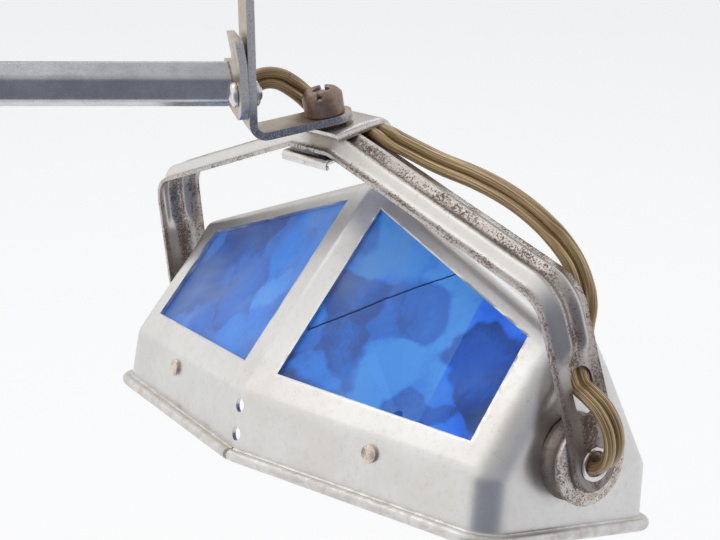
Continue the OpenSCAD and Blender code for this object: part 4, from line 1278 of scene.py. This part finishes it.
def flex_tube(name, path, start_length):
    """Sweeps the two cores along a path. UV.x is the length in mm, UV.y runs 0 to 4 around a core."""
    m = 20
    verts, lengths, faces = [], [], []
    for side_sign in (1, -1):
        base = len(verts)
        at = start_length
        for i, (p, side) in enumerate(path):
            ahead = path[min(i + 1, len(path) - 1)][0] - path[max(i - 1, 0)][0]
            ahead.normalize()
            across = (side - ahead * side.dot(ahead)).normalized()
            up = ahead.cross(across)
            if i:
                at += (p - path[i - 1][0]).length
            part = 0.97 + 0.03 * noise.noise(Vector((at * 0.08, side_sign, 0)))
            lift = 0.12 * noise.noise(Vector((at * 0.11, 5 + side_sign, 0)))
            centre = p + across * side_sign * CORE_PITCH / 2 * part + up * lift
            for k in range(m):
                a = 2 * math.pi * k / m
                verts.append((centre + (across * math.cos(a) + up * math.sin(a)) * CORE_R) * MM)
                lengths.append(at)
        rows = len(path)
        faces += ring_quads(rows, m, base)
        faces += [tuple(range(base, base + m))[::-1], tuple(range(base + (rows - 1) * m, base + rows * m))]
    mesh = bpy.data.meshes.new(name)
    mesh.from_pydata(verts, [], faces)
    layer = mesh.uv_layers.new(name="UVMap")
    for poly in mesh.polygons:
        around = [v % m for v in poly.vertices]
        closing = len(around) == 4 and 0 in around and m - 1 in around
        for i, k in zip(poly.loop_indices, around):
            layer.data[i].uv = (lengths[mesh.loops[i].vertex_index], 4 * (m if closing and k == 0 else k) / m)
    bm = bmesh.new()
    bm.from_mesh(mesh)
    bmesh.ops.recalc_face_normals(bm, faces=bm.faces)
    bm.to_mesh(mesh)
    bm.free()
    return place(name, mesh)


BRIDGE_ROUTE = ((-16.4, 8, 8.2), (-13.8, 7.8, 9.2), (-11, 7.3, 9.6), (-8.1, 7.4, 8.6), (-5.4, 8, 6.3),
                (-2.6, 9.3, 2.9))
BRIDGE_SIDES = ((0, 0, 1), (0, 0, 1), (0, 0, 1), (0.2, 0, 1), (0.5, 0, 1), (0.8, 0.4, 0.6))
YOKE_ROUTE = ((-9.9, 4.5, 67.6), (-10.2, 5.5, 66), (-9.4, 7, 64.5), (-6.4, 7.7, 64), (0, 7.7, 64),
              (8, 7.8, 63.8), (19, 8, 61.4), (31, 8.2, 59), (43, 8.2, 57.6), (52, 8.2, 55.8),
              (59, 8.3, 53.4), (65, 8.5, 50.2), (69.4, 8.7, 46.6), (72.4, 8.8, 42.8), (74.2, 8.8, 38.4),
              (75, 8.4, 33.8), (75.3, 6.8, 29.6), (76, 4, 25.4), (77, 1.6, 21.6), (79.2, 0.3, 18.6),
              (82.4, 0, 17.2), (85.8, 0, 15), (87.8, 0.2, 11), (87.8, 0.3, 6.4), (85.8, 0.2, 2.2),
              (82.6, 0, 0.2), (79, 0, 0), (74, 0, 0), (68, 0, 0))
FLAT, UPRIGHT = (0, 1, 0.05), (0, 0.5, 1)
YOKE_SIDES = ((0, 1, 0.2), (0, 1, 0.2), (0.2, 1, 0.1), *(FLAT,) * 3, *(UPRIGHT,) * 6, (0.3, 1, 0.6),
              (0.3, 1, 0.3), (0.6, 1, 0.2), (1, 0.6, 0), (1, 0.3, 0), (0.6, 1, 0), (0, 1, 0.3),
              *(FLAT,) * 10)
KNUCKLE_TO_SWIVEL = (-7.2, 7.5, 8.1)
LANDING = YOKE_ROUTE[2]


def flex():
    """The twin lead from the knuckle over the swivel to the yoke, along it and in through the pivot."""
    points, sides = [], []
    for where, route, tangents in ((BOLT, BRIDGE_ROUTE, BRIDGE_SIDES), (YOKE, YOKE_ROUTE, YOKE_SIDES)):
        points += [where @ (Vector(p) * MM) / MM for p in route]
        sides += [where.to_3x3() @ Vector(s) for s in tangents]
    path = smooth_path(points, sides)
    to_knuckle = KNUCKLE.inverted()
    plate_face = PLATE_X + STRIP_T
    path = [q for q in path if (to_knuckle @ (q[0] * MM)).x / MM > plate_face or q[0].x > 100]
    middle = BOLT @ (Vector(KNUCKLE_TO_SWIVEL) * MM) / MM
    landing = YOKE @ (Vector(LANDING) * MM) / MM
    first, second = (min(range(len(path)), key=lambda i: (path[i][0] - spot).length)
                     for spot in (middle, landing))
    lengths = [0.0]
    for (p, _), (q, _) in zip(path, path[1:]):
        lengths.append(lengths[-1] + (q - p).length)
    for name, low, high, bodies in (("flex_at_knuckle", 0, first, ("arm", "bracket")),
                                    ("flex_at_swivel", first, second, ("bracket", "yoke"))):
        tube = flex_tube(name, path[low:high + 1], lengths[low])
        dress(tube, None, "flex", ["flex_bridge"], sharp=60)
        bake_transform(tube)
    tube = flex_tube("flex_along_yoke", path[second:], lengths[second])
    dress(tube, "yoke", "flex", ["flex_on_yoke"], sharp=60)


# ---------------------------------------------------------------- stage and light
FLOOR_SIZE, FLOOR_AT = 9, (0.1, 4.28, -0.40)
FLOOR_GLOW, FLOOR_GLOW_TINT = 0.22, (0.94, 0.955, 0.965)
BACK_GREY, LEFT_WHITE = (0.60, 0.60, 0.60), (1.04, 1.03, 1.01)
RIGHT_GREY, FRONT_DARK = (0.88, 0.88, 0.90), (0.23, 0.25, 0.30)


def stage():
    bpy.ops.mesh.primitive_plane_add(size=FLOOR_SIZE, location=FLOOR_AT)
    floor = bpy.context.object
    floor.name = "floor"
    r = Recipe("white_floor")
    tone = r.mix(r.noise(900, 3), (0.93, 0.935, 0.94), (0.90, 0.905, 0.91))
    finish = r.finish(tone, 0.9, 0.0, Emission_Strength=FLOOR_GLOW, Emission_Color=FLOOR_GLOW_TINT)
    floor.data.materials.append(finish)


def world():
    """Studio surroundings: a bright left side, a grey back and right, a dark room low in front."""
    studio = bpy.data.worlds.new("studio")
    scene.world = studio
    studio.use_nodes = True
    sky = Nodes(studio.node_tree)
    toward = sky.split(sky.node("ShaderNodeTexCoord").outputs["Generated"])

    def share(axis, low, high):
        """Goes smoothly from 0 to 1 as the direction's part along an axis goes from low to high."""
        n = sky.node("ShaderNodeMapRange", interpolation_type="SMOOTHSTEP")
        n.inputs["From Min"].default_value, n.inputs["From Max"].default_value = low, high
        sky.put(n.inputs["Value"], toward[axis])
        return n.outputs["Result"]

    tone = sky.mix(share("X", -0.15, -0.75), BACK_GREY, LEFT_WHITE)
    tone = sky.mix(share("X", 0.35, 0.8), tone, RIGHT_GREY)
    low_front = sky.times(share("Y", -0.25, -0.80), sky.minus(1.0, sky.times(share("Z", 0.15, 0.75), 0.8)))
    tone = sky.mix(low_front, tone, FRONT_DARK)
    background = sky.tree.nodes["Background"]
    sky.put(background.inputs["Color"], tone)
    background.inputs["Strength"].default_value = 1.0


def softbox(name, at, aim, size, power, tint=(1, 1, 1)):
    light = bpy.data.lights.new(name, "AREA")
    light.shape = "RECTANGLE"
    light.size, light.size_y = size
    light.energy = power
    light.color = tint
    obj = place(name, light)
    obj.location = at
    obj.rotation_euler = (Vector(aim) - Vector(at)).to_track_quat("-Z", "Y").to_euler()


def lights():
    centre = (0.10, 0.0, 0.0)
    softbox("top_left", (-0.55, 0.35, 0.95), centre, (0.7, 0.7), 1.6, (1.0, 0.99, 0.97))
    softbox("top_back", (0.35, 0.95, 0.75), centre, (1.1, 0.5), 1.4)


for build in (arm_tube, knuckle_plate, knuckle_screw, bracket, clamp_hardware, yoke, upper_clamp_plate,
              lower_clamp_plate, pivots, shade_shell, rim_hem, skirt_rivets, panes, flex, stage, world,
              lights):
    build()
scene.view_settings.view_transform = "Standard"
